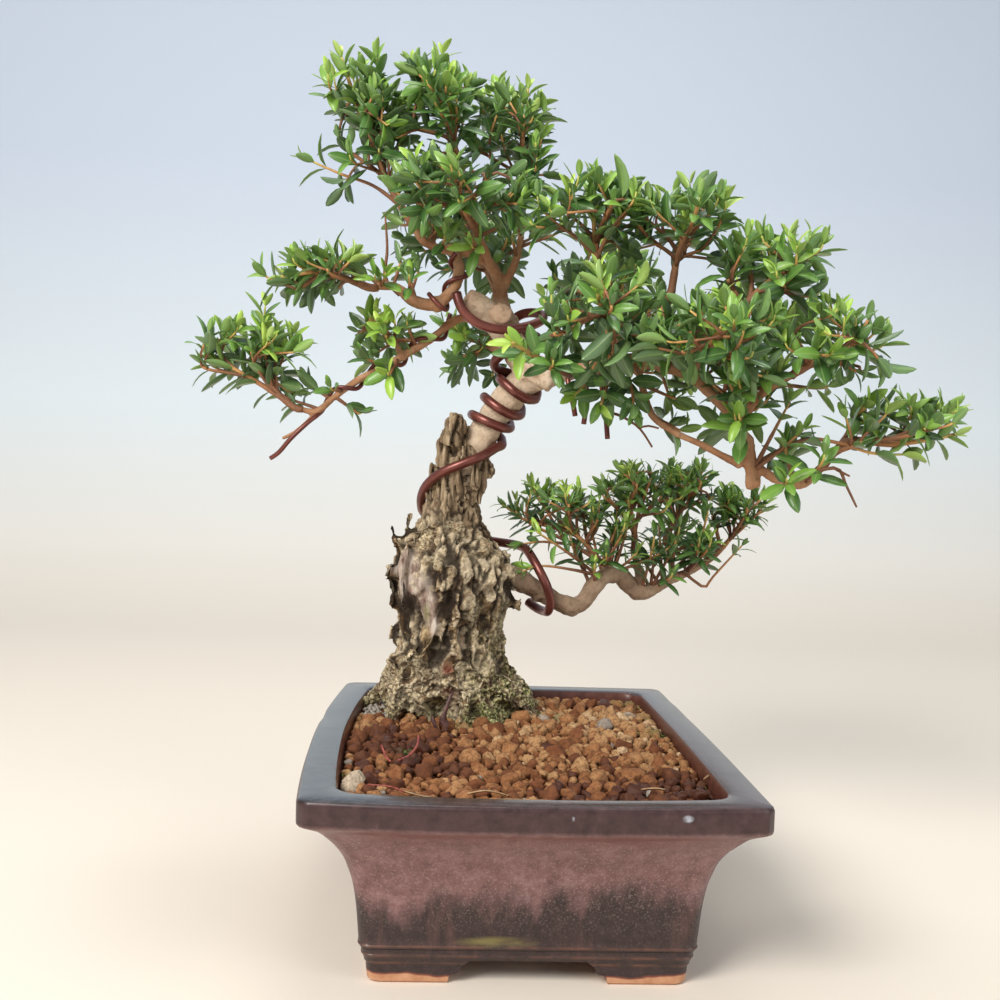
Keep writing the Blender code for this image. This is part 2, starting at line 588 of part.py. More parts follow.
def smooth_route(points, step):
    """Even points along a smooth curve through the given ones, each with its own radius."""
    ends = [points[0]] + list(points) + [points[-1]]
    dense = []
    for a, b, c, d in zip(ends, ends[1:], ends[2:], ends[3:]):
        for k in range(12):
            dense.append([between(p, q, r, s, k / 12) for p, q, r, s in zip(a, b, c, d)])
    dense.append(list(points[-1]))
    route = [dense[0]]
    run = 0.0
    for before, after in zip(dense, dense[1:]):
        run += math.dist(before[:3], after[:3])
        if run >= step:
            route.append(after)
            run = 0.0
    if math.dist(route[-1][:3], dense[-1][:3]) > step / 3:
        route.append(dense[-1])
    else:
        route[-1] = dense[-1]
    return [tuple(point) for point in route]


def coil(route, clearance, plan):
    """A wire wound round a limb: a helix that follows the limb's route at its own radius."""
    turns, points_a_turn, start, (begin, end) = plan
    fine = smooth_route(route, 1.0)
    first = int(begin * (len(fine) - 1))
    last = int(end * (len(fine) - 1))
    count = int(turns * points_a_turn)
    wound = []
    for k in range(count + 1):
        part = first + (last - first) * k / count
        i = min(int(part), len(fine) - 2)
        here = Vector(fine[i][:3]).lerp(Vector(fine[i + 1][:3]), part - i)
        along = (Vector(fine[min(i + 3, len(fine) - 1)][:3]) - Vector(fine[max(i - 3, 0)][:3])).normalized()
        side = along.cross(Vector((0.0, 1.0, 0.0))).normalized()
        other = along.cross(side)
        angle = math.radians(start) + 2 * math.pi * turns * k / count
        reach = fine[i][3] + clearance
        wound.append(here + side * (reach * math.cos(angle)) + other * (reach * math.sin(angle)))
    return wound


def lay_on(points, tree, distance):
    """Push a route out until all of it lies at least a distance from the wood."""
    laid = [Vector(point) for point in points]
    for _ in range(20):
        for k in range(len(laid) - 1):
            for part in (0.0, 0.25, 0.5, 0.75, 1.0):
                probe = laid[k].lerp(laid[k + 1], part)
                near, normal, _, _ = tree.find_nearest(probe * MM)
                away = probe - near / MM
                inside = away.dot(normal) < 0
                gap = -away.length if inside else away.length
                if gap < distance:
                    push = (normal if inside else away.normalized()) * (distance - gap)
                    laid[k] += push * (1 - part)
                    laid[k + 1] += push * part
    return laid


def wire_object(name, points, radius, group, look, sides=6):
    """A wire of one thickness through its points."""
    route = [(*point, radius) for point in points]
    return place_mesh(name, tube_mesh(name, route, sides), group, look)


def make_wires(group, trunk):
    """The training wires: a thick one from the crown to the low branch, and thin ones on two limbs."""
    look = material("wire", (0.20, 0.06, 0.045), 0.35, 0.8)
    tree = surface_tree(trunk.data)
    coils = coil(list(reversed(LIMBS["neck"])), WIRE_RADIUS + COIL_SLACK, TRUNK_COIL)
    points = lay_on(WIRE_ROUND_STUB + coils + WIRE_DOWN_TRUNK, tree, WIRE_RADIUS + WIRE_GAP)
    made = [wire_object("trunk_wire", points, WIRE_RADIUS, group, look)]

    thin = THIN_WIRE_RADIUS + COIL_SLACK
    branch = coil(LIMBS["left"][1:], thin, LEFT_COIL)
    points = lay_on(branch + THIN_WIRE_TAIL, tree, THIN_WIRE_RADIUS + WIRE_GAP)
    made.append(wire_object("left_branch_wire", points, THIN_WIRE_RADIUS, group, look))

    bend = coil(LIMBS["u_limb"], thin, CROWN_COIL)
    points = lay_on(bend, tree, THIN_WIRE_RADIUS + WIRE_GAP)
    made.append(wire_object("crown_wire", points, THIN_WIRE_RADIUS, group, look))
    return made


def leaf_mesh():
    """One blade along +x: six points round an elliptic outline, arched, and thickest in its middle."""
    outline = [(0.0, 0.0), (0.30, -0.46), (0.68, -0.44), (1.0, 0.0), (0.68, 0.44), (0.30, 0.46)]
    form = bmesh.new()
    rim = []
    for u, v in outline:
        droop = -0.07 * LEAF_LENGTH * u * u
        rim.append(form.verts.new((u * LEAF_LENGTH, v * LEAF_WIDTH, droop)))
    under = form.verts.new((0.48 * LEAF_LENGTH, 0, -LEAF_THICKNESS - 0.02 * LEAF_LENGTH))
    for a, b in zip(rim, rim[1:] + rim[:1]):
        form.faces.new((b, a, under))
    root, right_a, right_b, point, left_b, left_a = rim
    form.faces.new((root, right_a, left_a))
    form.faces.new((right_a, right_b, left_b, left_a))
    form.faces.new((right_b, point, left_b))
    return finish_bmesh("leaf", form)


def twig_route(start, end, steps=2):
    """A twig that leaves its stem and turns up towards its tip."""
    length = (end - start).length
    bend = start.lerp(end, 0.55) - Vector((0, 0, 0.16 * length))
    route = []
    for k in range(steps + 1):
        t = k / steps
        point = start * (1 - t) ** 2 + bend * (2 * t * (1 - t)) + end * (t * t)
        route.append((*point, TWIG_RADIUS + (TWIG_TIP_RADIUS - TWIG_RADIUS) * t))
    return route


def leaf_places(route, spacing, draw, bare=0.35):
    """Opposite pairs of leaves along a twig, each pair turned a right angle to the last."""
    fine = smooth_route(route, 1.0)
    reach = len(fine) - 1
    quarter = draw.uniform(0, math.pi)
    places = []
    while reach >= bare * len(fine):
        i = max(int(reach), 1)
        here = Vector(fine[min(i, len(fine) - 1)][:3])
        along = (here - Vector(fine[i - 1][:3])).normalized()
        for side in (0, math.pi):
            places.append((here, along, quarter + side + draw.uniform(-0.25, 0.25)))
        quarter += math.pi / 2
        reach -= spacing
    return places


def leaf_matrix(here, along, spin, size, lean):
    """Where one leaf stands: its blade points out and forward from the twig, its root sunk in."""
    turn = frame_along(along, spin) @ Matrix.Rotation(lean - math.pi / 2, 3, "Y")
    return Matrix.Translation((here - along * LEAF_ROOT) * MM) @ (turn * size).to_4x4()


def make_spray(name, plan, group, pieces, blade, taken, draw, look):
    """One leafy spray: its stem, twigs and leaves, kept clear of what stands near and joined up."""
    limb, further, middle, room, twigs = plan
    last = LIMBS[limb][-1]
    before = Vector(LIMBS[limb][-2][:3])
    tip = Vector(last[:3])
    start = tip + (tip - before).normalized() * GAP
    radius = last[3] * 0.92
    stem = [(*start, radius), (*(start + (tip - before).normalized() * 2.0), radius)]
    for k, point in enumerate(further):
        part = (k + 1) / len(further)
        stem.append((*point, radius + (STEM_TIP_RADIUS - radius) * part))
    spray = place_mesh(f"spray_{name}", tube_mesh(name, stem, 6), group)
    size = SMALL_LEAF if name.startswith("low") else 1.0
    routes = [stem]
    fine = smooth_route(stem, 2.0)
    for i in range(twigs):
        for attempt in range(8):
            height = 1 - 1.55 * (i + 0.5) / twigs
            ring = math.sqrt(max(0.0, 1 - height * height))
            angle = i * GOLDEN_ANGLE + attempt * 0.5 + draw.uniform(-0.2, 0.2)
            reach = draw.uniform(0.78, 0.95)
            end = Vector(middle) + Vector((room[0] * ring * math.cos(angle), room[1] * ring * math.sin(angle),
                                           room[2] * height)) * reach
            near = min(range(len(fine)), key=lambda j: math.dist(fine[j][:3], end))
            base = Vector(fine[max(2, int(near * 0.72))][:3])
            route = twig_route(base, end)
            fat = [(x, y, z, r + 0.5) for x, y, z, r in route]
            probe = surface_tree(tube_mesh("probe", fat, 4))
            if not any(probe.overlap(tree) for tree in taken):
                place_mesh("twig", tube_mesh("twig", route, 4), pieces)
                routes.append(route)
                break
    for route in routes:
        bare = 0.75 if route is stem else 0.42
        for here, along, spin in leaf_places(route, LEAF_SPACING * size, draw, bare):
            for attempt in range(6):
                scale = size * draw.uniform(0.85, 1.05)
                lean = LEAF_ANGLE + draw.uniform(-0.2, 0.2)
                turned = spin + attempt * 0.45
                probe = surface_tree(blade, leaf_matrix(here, along, turned, scale * TEST_GROWTH, lean))
                if not any(probe.overlap(tree) for tree in taken):
                    leaf = place_mesh("leaf", blade, pieces)
                    leaf.matrix_world = leaf_matrix(here, along, turned, scale, lean)
                    break
    boolean(spray, "UNION", pieces, "MANIFOLD")
    for item in list(pieces.objects):
        bpy.data.objects.remove(item, do_unlink=True)
    keep_largest_body(spray.data)
    spray.data.materials.clear()
    spray.data.materials.append(look)
    return spray


def move_origin(items):
    """Put the origin under the middle of the whole plant, at the height of the pot's feet."""
    points = [vertex.co for item in items for vertex in item.data.vertices]
    low = Vector([min(point[k] for point in points) for k in range(3)])
    high = Vector([max(point[k] for point in points) for k in range(3)])
    shift = Vector(((low.x + high.x) / 2, (low.y + high.y) / 2, low.z))
    for item in items:
        item.data.transform(Matrix.Translation(-shift))


def main():
    clear_scene()
    plant = new_collection("myrtle_bonsai")
    cutters = new_collection("cutters")
    pieces = new_collection("pieces")
    draw = random.Random(7)

    pot = make_pot(plant, cutters)
    fittings = make_drain_fittings(plant)
    soil = make_soil(plant, cutters, draw)
    trunk = make_trunk(plant, pieces)
    wires = make_wires(plant, trunk)
    made = [pot, *fittings, soil, trunk, *wires]

    leaf_look = material("leaf", (0.10, 0.24, 0.05), 0.45)
    blade = leaf_mesh()
    taken = [surface_tree(item.data) for item in [pot, soil, trunk, *wires]]
    for name, plan in SPRAYS.items():
        spray = make_spray(name, plan, plant, pieces, blade, taken, draw, leaf_look)
        taken.append(surface_tree(spray.data))
        made.append(spray)

    bpy.data.collections.remove(pieces)
    move_origin(made)


main()
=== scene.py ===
"""Looks of the myrtle bonsai: fine wood, leaves, granules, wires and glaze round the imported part.

Measures are millimetres with x across the pot, y away from the camera and z up from the feet,
as in the part's source, and become metres in the row frame where a mesh is made.
"""

import math
import random

import bmesh
import bpy
import numpy as np
from mathutils import Matrix, Vector, kdtree, noise
from mathutils.bvhtree import BVHTree


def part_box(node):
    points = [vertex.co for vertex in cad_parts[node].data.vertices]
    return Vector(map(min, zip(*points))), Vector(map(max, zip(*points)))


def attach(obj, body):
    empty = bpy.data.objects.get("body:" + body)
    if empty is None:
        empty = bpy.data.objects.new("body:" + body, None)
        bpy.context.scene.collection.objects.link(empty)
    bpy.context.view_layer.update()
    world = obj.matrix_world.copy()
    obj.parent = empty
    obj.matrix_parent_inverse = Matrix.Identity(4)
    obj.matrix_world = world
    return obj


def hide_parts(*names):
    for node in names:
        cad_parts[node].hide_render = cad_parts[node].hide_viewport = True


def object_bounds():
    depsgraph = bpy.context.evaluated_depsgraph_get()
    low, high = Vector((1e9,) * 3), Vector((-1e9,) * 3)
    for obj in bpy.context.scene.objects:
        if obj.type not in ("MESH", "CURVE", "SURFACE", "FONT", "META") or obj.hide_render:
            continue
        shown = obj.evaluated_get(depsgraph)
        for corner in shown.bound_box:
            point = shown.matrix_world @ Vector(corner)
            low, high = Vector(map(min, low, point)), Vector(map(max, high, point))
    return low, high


MM = 0.001
GOLDEN_ANGLE = math.pi * (3.0 - math.sqrt(5.0))

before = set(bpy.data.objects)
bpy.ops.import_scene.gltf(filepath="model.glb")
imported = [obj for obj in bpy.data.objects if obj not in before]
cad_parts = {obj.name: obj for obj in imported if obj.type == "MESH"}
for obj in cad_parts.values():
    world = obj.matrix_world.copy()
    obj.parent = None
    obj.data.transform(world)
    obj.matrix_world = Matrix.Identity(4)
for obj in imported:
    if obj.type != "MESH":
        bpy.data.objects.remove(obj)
cad_low, cad_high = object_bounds()
screen_low, screen_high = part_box("drain_screen_front")
DRAIN_OFFSET = 50.0
# Where the middle of the pot's feet is in the row frame.
ORIGIN = Vector(((screen_low.x + screen_high.x) / 2,
                 (screen_low.y + screen_high.y) / 2 + DRAIN_OFFSET * MM, 0.0))
PLACE = np.array(ORIGIN)

POT_WIDTH = 165.0
POT_DEPTH = 230.0
POT_HEIGHT = 71.8
POT_FLOOR = 15.0
POT_UNDERSIDE = 8.3
POT_CORNER = 5.0
POT_INNER_CORNER = 9.0
POT_BOWS = (1.0, 5.0, 1.0, 5.0)
POT_OUTSIDE = [
    (24.6, 0.0), (24.0, 4.0), (23.7, 7.3), (22.8, 9.2), (21.9, 13.0), (21.3, 14.5), (20.0, 27.8),
    (18.5, 37.0), (16.8, 43.0), (15.0, 47.8), (11.8, 52.8), (9.1, 56.0), (6.4, 58.8), (3.3, 60.7),
    (0.5, 62.3), (0.0, 64.0), (0.0, 70.3), (1.5, POT_HEIGHT),
]
POT_INSIDE = [
    (11.5, POT_HEIGHT), (13.0, 70.4), (14.0, 62.0), (18.5, 54.0), (23.0, 46.0), (26.0, 37.0),
    (27.5, 26.0), (29.0, 18.0), (32.0, POT_FLOOR),
]
FOOT_INNER = 33.0
FOOT_GAP = [(29.5, -2.0), (28.5, 3.0), (25.0, 4.2), (24.0, 6.6), (21.0, 8.9)]
FOOT_GAP_LONG_EXTRA = 24.0
DRAIN_RADIUS = 11.0

SOIL_TOP = 65.5
SOIL_DOME = 2.2

TRUNK_SECTIONS = [
    (50.0, -46.0, 6.0, 43.0, 86.0),
    (67.0, -53.0, 12.5, 36.0, 93.0), (73.0, -57.0, 10.5, 37.0, 92.0), (83.0, -59.0, 4.5, 39.0, 89.0),
    (98.0, -56.0, -6.5, 40.0, 86.0), (114.0, -57.0, -3.5, 38.0, 88.0), (124.0, -59.5, -1.0, 36.5, 89.0),
    (134.0, -62.0, -0.5, 36.5, 88.0), (144.0, -59.5, -2.5, 39.0, 86.0), (152.0, -54.0, -9.0, 42.0, 83.0),
    (160.0, -47.5, -15.0, 46.0, 79.0), (169.0, -42.5, -19.5, 49.0, 76.0),
    (180.0, -40.5, -18.0, 51.0, 74.0),
    (191.0, -37.0, -17.0, 52.0, 71.0), (199.0, -33.5, -18.5, 54.0, 69.0),
    (205.0, -31.5, -21.0, 57.0, 66.0),
]
ROOT_ANGLES = (-14.0, 62.0, 128.0, 183.0, 237.0, 292.0)
ROOT_WIDTH = 16.0
ROOT_HEIGHT = 26.0

LIMBS = {
    "neck": [(-26, 61, 176, 8.4), (-20, 60, 194, 7.8), (-13, 57, 209, 7.2), (-5.5, 54, 219, 7.0),
             (0.5, 51, 226, 7.2), (8, 46, 231, 7.4)],
    "right": [(4, 48, 229, 7.4), (14, 43, 232, 6.6), (24, 38, 233, 5.4), (39, 28, 235, 4.4),
              (55, 18, 235, 3.8),
              (71, 8, 229, 3.3), (84, 0, 216, 2.8), (93, -4, 203, 3.2), (96, -6, 190, 3.4),
              (97, -6, 181, 2.4)],
    "right_low": [(95, -5, 193, 2.5), (108, -8, 184, 2.3), (118, -10, 183, 2.2), (125, -11, 190, 2.0)],
    "cross": [(50, 19, 232, 2.2), (54, 5, 212, 1.9), (63, 0, 204, 1.8), (74, -3, 199, 1.8),
              (92, -6, 190, 2.2)],
    "crown": [(4, 47, 228, 7.0), (-3, 50, 241, 6.4), (-9, 52, 252, 5.8), (-11, 52, 265, 4.0),
              (-13, 51, 276, 3.4), (-22, 49, 285, 3.0), (-35, 47, 286, 2.7), (-47, 45, 289, 2.3),
              (-54, 44, 298, 2.0)],
    "u_limb": [(-34, 47, 288, 2.6), (-31, 44, 277, 3.1), (-34, 41, 267, 3.2), (-41, 39, 260, 3.4),
               (-51, 38, 261, 3.3), (-60, 37, 267, 2.6), (-70, 35, 266, 2.0)],
    "top": [(-21, 49, 284, 2.6), (-25, 48, 296, 2.3), (-27, 47, 308, 2.1), (-29, 46, 316, 1.9)],
    "top_right": [(-11, 51, 268, 2.8), (-6, 50, 279, 2.4), (-3, 52, 289, 2.1), (-2, 55, 299, 1.9)],
    "crown_front": [(-15, 51, 279, 2.6), (-20, 36, 286, 2.2), (-24, 24, 291, 1.9)],
    "crown_back": [(-12, 52, 268, 2.8), (-16, 72, 280, 2.3), (-22, 86, 289, 2.0)],
    "left": [(-8, 56, 250, 3.0), (-21, 56, 255, 2.8), (-31, 52, 255, 2.5), (-43, 48, 245, 2.3),
             (-56, 44, 236, 2.2), (-67, 42, 229, 2.1), (-76, 40, 224, 2.0), (-86, 38, 216, 1.9),
             (-94, 36, 209, 1.8), (-102, 36, 210, 1.7)],
    "left_hook": [(-92, 37, 211, 1.5), (-101, 36, 201, 1.3), (-109, 35, 196, 1.0)],
    "left_knee": [(-56, 44, 236, 1.9), (-60, 46, 243, 1.6)],
    "cut_stub": [(-6, 50, 246, 6.6), (-18, 45, 258, 6.0), (-27, 42, 263, 5.2)],
    "front_stub": [(-9, 51, 254, 5.6), (-11, 38, 257, 5.0)],
    "back": [(-3, 50, 240, 3.2), (-7, 75, 244, 2.6), (-12, 92, 246, 2.2)],
    "up_left": [(34, 31, 235, 3.0), (34, 20, 252, 2.5), (31, 12, 268, 2.1)],
    "up_mid": [(55, 18, 235, 3.2), (57, 13, 250, 2.7), (61, 8, 263, 2.2)],
    "up_right": [(71, 8, 229, 2.9), (79, 0, 243, 2.5), (87, -8, 254, 2.1)],
    "far_up": [(90, -3, 208, 2.5), (98, -15, 221, 2.2), (109, -23, 229, 1.9)],
    "front_left": [(39, 28, 235, 2.8), (35, 8, 240, 2.3), (31, -8, 245, 2.0)],
    "front_mid": [(71, 8, 229, 2.8), (70, -9, 231, 2.3), (70, -20, 234, 2.0)],
    "back_left": [(39, 28, 235, 3.0), (44, 50, 252, 2.5), (47, 66, 266, 2.1)],
    "back_right": [(55, 18, 235, 3.0), (76, 42, 245, 2.5), (96, 58, 252, 2.1)],
    "shoot_knee": [(24, 38, 233, 2.4), (21, 24, 229, 1.9)],
    "low": [(-10, 60, 137, 6.2), (4, 67, 131.5, 5.2), (14, 70, 126, 4.8), (23, 72, 121, 4.7),
            (30, 74, 119, 4.7), (36, 76, 121.5, 4.6), (41, 78, 128.5, 4.5), (47, 81, 133.5, 4.5),
            (54, 84, 134.5, 4.5), (60, 87, 129, 4.5), (66, 89, 125, 4.4), (73, 91, 127, 3.8),
            (82, 94, 131.5, 3.1), (92, 97, 135.5, 2.5), (100, 99, 140, 2.2)],
    "low_left": [(50, 83, 134.5, 2.2), (44, 82, 141, 1.8)],
    "low_mid": [(66, 89, 126, 3.0), (65, 90, 136, 2.5), (63, 90, 144, 2.0)],
    "low_right": [(84, 95, 133, 2.4), (82, 95, 143, 2.0), (80, 96, 151, 1.8)],
}

SOIL_SEED = 11
FIRST_SPRAY_SEED = 100
# Voxels of the fused wood in millimetres, and the steps between the points along its forms.
OLD_WOOD_VOXEL = 0.72
LIVE_WOOD_VOXEL = 0.76
WOOD_STEP = 1.2
TRUNK_STEP = 1.25
# Leaves and shoots in millimetres: the gap between pairs on a stem, a bough and a shoot, the longest
# shoot, and the size of the low branch's leaves beside the others.
STEM_PAIRS = 6.4
BOUGH_PAIRS = 7.0
SHOOT_PAIRS = 6.2
LONGEST_SHOOT = 30.0
LONGEST_LOW_SHOOT = 20.0
LOW_LEAF_SIZE = 0.76

# Each leafy spray: the limb whose end it grows from, its stem's further points, the middle and the
# half sizes of the room that its leaves fill, and its number of twigs.
SPRAYS = {
    "crown_left": ("crown", [(-66, 46, 318), (-78, 47, 345), (-88, 45, 372)], (-78, 48, 340),
                   (25, 27, 34), 5),
    "crown_mid": ("top", [(-35, 44, 334), (-44, 42, 353), (-55, 42, 370)], (-45, 41, 345),
                  (24, 29, 29), 5),
    "crown_right": ("top_right", [(-2, 57, 318), (-3, 57, 340), (-1, 56, 365)], (-8, 58, 339),
                    (25, 28, 30), 5),
    "crown_front": ("crown_front", [(-29, 14, 297), (-34, 2, 304)], (-32, 8, 303), (34, 24, 19), 4),
    "crown_back": ("crown_back", [(-28, 98, 296), (-34, 108, 303)], (-30, 102, 302), (34, 24, 22), 4),
    "left_upper": ("u_limb", [(-84, 36, 270), (-98, 38, 272), (-112, 40, 270)], (-92, 40, 268),
                   (34, 25, 15), 4),
    "left_inner": ("left_knee", [(-66, 48, 249), (-72, 50, 254)], (-68, 48, 245), (22, 18, 12), 2),
    "left_lower": ("left", [(-112, 36, 216), (-126, 36, 224), (-140, 36, 231)], (-124, 36, 230),
                   (34, 22, 19), 4),
    "canopy_top_left": ("up_left", [(28, 8, 282), (26, 6, 296)], (26, 8, 293), (31, 31, 22), 4),
    "canopy_top_mid": ("up_mid", [(63, 4, 279), (66, 2, 294)], (64, 2, 288), (30, 32, 24), 4),
    "canopy_top_right": ("up_right", [(96, -12, 265), (106, -14, 274)], (102, -12, 270), (32, 30, 20), 4),
    "canopy_right": ("far_up", [(119, -27, 235), (130, -30, 240)], (124, -28, 238), (28, 29, 21), 4),
    "canopy_front_left": ("front_left", [(28, -22, 251), (24, -34, 257)], (24, -30, 246),
                          (29, 28, 26), 5),
    "canopy_front_mid": ("front_mid", [(70, -34, 238), (72, -46, 244)], (72, -40, 238), (30, 28, 22), 4),
    "far_right": ("right_low", [(136, -13, 202), (152, -16, 201), (166, -18, 203), (180, -18, 206)],
                  (154, -16, 206), (36, 22, 15), 4),
    "canopy_back_left": ("back_left", [(46, 80, 277), (44, 92, 284)], (42, 84, 280), (36, 30, 20), 4),
    "canopy_back_right": ("back_right", [(108, 67, 256), (120, 74, 260)], (112, 72, 258),
                          (34, 32, 20), 4),
    "back_low": ("back", [(-16, 108, 249), (-22, 120, 254)], (-18, 114, 250), (28, 22, 18), 3),
    "front_shoot": ("shoot_knee", [(16, 6, 228), (4, -16, 231), (-10, -36, 236)], (4, -24, 232),
                    (18, 20, 9), 1),
    "low_left": ("low_left", [(36, 81, 150), (26, 79, 158)], (24, 82, 162), (32, 28, 17), 4),
    "low_mid": ("low_mid", [(62, 88, 158), (58, 86, 172)], (60, 84, 174), (26, 30, 16), 3),
    "low_right": ("low_right", [(84, 97, 162), (88, 97, 174)], (88, 98, 175), (24, 30, 17), 3),
    "low_tip": ("low", [(110, 101, 148), (118, 102, 158)], (118, 101, 164), (20, 24, 16), 3),
}

WIRE_RADIUS = 2.25
THIN_WIRE_RADIUS = 1.05
WIRE_GAP = 0.35
COIL_SLACK = 0.6
# The thick wire's way round the cut stub, and from its coils down to the low branch.
WIRE_ROUND_STUB = [
    (-32, 35, 265), (-31, 33.5, 258), (-26, 33.5, 252.5), (-18, 34, 249), (-9, 34.5, 248.5),
    (0, 37, 250.5),
    (8, 43, 254), (11, 50, 258), (6, 58, 261), (-2, 63, 260.5), (-7, 64, 256), (-2, 63, 251),
    (6, 57, 249.5),
    (8.5, 49, 247.5), (4, 42.5, 245), (-3, 40.5, 242.5), (-10, 41, 239), (-14.5, 46, 235.5),
    (-13.5, 54, 232.5),
    (-6, 60, 230.5),
]
WIRE_DOWN_TRUNK = [
    (-10.5, 50.5, 196), (-16, 47.5, 191.5), (-26, 46, 187.5), (-36, 48, 183.5), (-42.5, 53.5, 178.5),
    (-46, 61.5, 172),
    (-45, 71, 164), (-38.5, 81.5, 157), (-28, 88.5, 152), (-12, 91, 149), (1, 86, 148), (6.5, 76, 147.5),
    (9, 67, 143),
    (13, 61.5, 136), (17, 61, 129), (19.5, 64.5, 121.5), (18.5, 71.5, 115.5), (13.5, 79, 116),
    (9, 83.5, 119.5),
]
# Each coil: its turns, points a turn, start angle in degrees, and the part of its limb that it covers.
TRUNK_COIL = (3.25, 10, 270, (0.09, 0.62))
LEFT_COIL = (3.2, 10, 200, (0.14, 0.88))
CROWN_COIL = (2.2, 8, 90, (0.12, 0.62))
# The thin wire's end, which leaves the left limb and hangs below its dead tip.
THIN_WIRE_TAIL = [(-95, 31, 206), (-101, 31, 200), (-106, 31, 195), (-110, 33, 189), (-114, 35, 187)]


LEAF_LENGTH = 13.5
LEAF_WIDTH = 5.6
LEAF_THICKNESS = 0.32


# Plain helpers for meshes and pieces.

def to_row(points):
    """Points in millimetres as points of the row frame in metres."""
    return np.asarray(points, float) * MM + PLACE


def new_mesh(name, points, faces, smooth=True):
    """A mesh from points in millimetres and faces, in the row frame."""
    mesh = bpy.data.meshes.new(name)
    mesh.from_pydata(to_row(points).tolist(), [], [list(face) for face in faces])
    if smooth:
        mesh.shade_smooth()
    return mesh


def write(mesh, name, values):
    """Keep a number or a triple for every point of a mesh, which its material reads."""
    values = np.asarray(values, np.float32)
    if values.ndim == 1:
        mesh.attributes.new(name, "FLOAT", "POINT").data.foreach_set("value", values)
    else:
        mesh.attributes.new(name, "FLOAT_VECTOR", "POINT").data.foreach_set("vector", values.ravel())


def put(name, mesh, looks, slot, *nodes):
    """Place a piece: its materials, the body it rides on and the nodes that it replaces. slot is not used.
    """
    item = bpy.data.objects.new(name, mesh)
    bpy.context.scene.collection.objects.link(item)
    mesh.materials.clear()
    for look in looks:
        mesh.materials.append(look)
    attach(item, "root")
    if nodes:
        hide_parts(*nodes)
    return item


def loose(name, mesh):
    """An object that is only a step on the way to a piece."""
    item = bpy.data.objects.new(name, mesh)
    bpy.context.scene.collection.objects.link(item)
    return item


def drop(item):
    bpy.data.objects.remove(item, do_unlink=True)


def applied(item):
    """The mesh of an object with its modifiers."""
    bpy.context.view_layer.update()
    seen = item.evaluated_get(bpy.context.evaluated_depsgraph_get())
    return bpy.data.meshes.new_from_object(seen)


def remeshed(name, meshes, voxel):
    """Join overlapping meshes into one smooth skin of even small faces."""
    form = bmesh.new()
    for mesh in meshes:
        form.from_mesh(mesh)
    joined = bpy.data.meshes.new(name)
    form.to_mesh(joined)
    form.free()
    item = loose(name, joined)
    skin = item.modifiers.new("skin", "REMESH")
    skin.mode = "VOXEL"
    skin.voxel_size = voxel * MM
    skin.use_smooth_shade = True
    made = applied(item)
    drop(item)
    return made


def points_of(mesh):
    """A mesh's points in pot millimetres, and its normals."""
    co = np.empty(len(mesh.vertices) * 3, np.float32)
    mesh.vertices.foreach_get("co", co)
    normal = np.empty(len(mesh.vertices) * 3, np.float32)
    mesh.vertex_normals.foreach_get("vector", normal)
    return (co.reshape(-1, 3) - PLACE) / MM, normal.reshape(-1, 3).astype(float)


def set_points(mesh, points):
    mesh.vertices.foreach_set("co", to_row(points).astype(np.float32).ravel())
    mesh.update()


def noise_at(points, scale, shift=0.0):
    """Smooth noise from about -1 to 1 at each point. scale is in millimetres, one or three."""
    spots = np.asarray(points, float) / np.asarray(scale, float) + shift
    return np.array([noise.noise(Vector(spot)) for spot in spots])


def cells_at(points, scale, shift=0.0):
    """Distances to the nearest and the next nearest random cell centre, and a number for each cell."""
    spots = np.asarray(points, float) / np.asarray(scale, float) + shift
    found = np.empty((len(spots), 3))
    for row, spot in zip(found, spots):
        far, near = noise.voronoi(Vector(spot))
        row[:] = (far[0], far[1], near[0][0] * 7.13 + near[0][2] * 3.71)
    return found[:, 0], found[:, 1], found[:, 2] % 1.0


def ramped(values, low, high):
    """From 0 at low to 1 at high, with soft ends."""
    part = np.clip((np.asarray(values, float) - low) / (high - low), 0.0, 1.0)
    return part * part * (3 - 2 * part)


def near_spot(points, centre, radius):
    """1 at a spot, and 0 from its radius on. The radius may differ by axis."""
    away = np.linalg.norm((points - np.array(centre, float)) / np.array(radius, float), axis=1)
    return 1 - ramped(away, 0.35, 1.0)


def between(p, q, r, s, t):
    """A value on the smooth curve from q to r, whose neighbours are p and s."""
    cubic = (3 * q - p - 3 * r + s) * t
    return 0.5 * (2 * q + ((r - p) + ((2 * p - 5 * q + 4 * r - s) + cubic) * t) * t)


def smooth_route(points, step):
    """Even points along a smooth curve through the given ones, with the radius or what else they hold."""
    ends = [points[0]] + list(points) + [points[-1]]
    dense = []
    for a, b, c, d in zip(ends, ends[1:], ends[2:], ends[3:]):
        for k in range(12):
            dense.append([between(p, q, r, s, k / 12) for p, q, r, s in zip(a, b, c, d)])
    dense.append(list(points[-1]))
    route = [dense[0]]
    run = 0.0
    for before, after in zip(dense, dense[1:]):
        run += math.dist(before[:3], after[:3])
        if run >= step:
            route.append(after)
            run = 0.0
    if math.dist(route[-1][:3], dense[-1][:3]) > step / 3:
        route.append(dense[-1])
    else:
        route[-1] = dense[-1]
    return np.array(route, float)


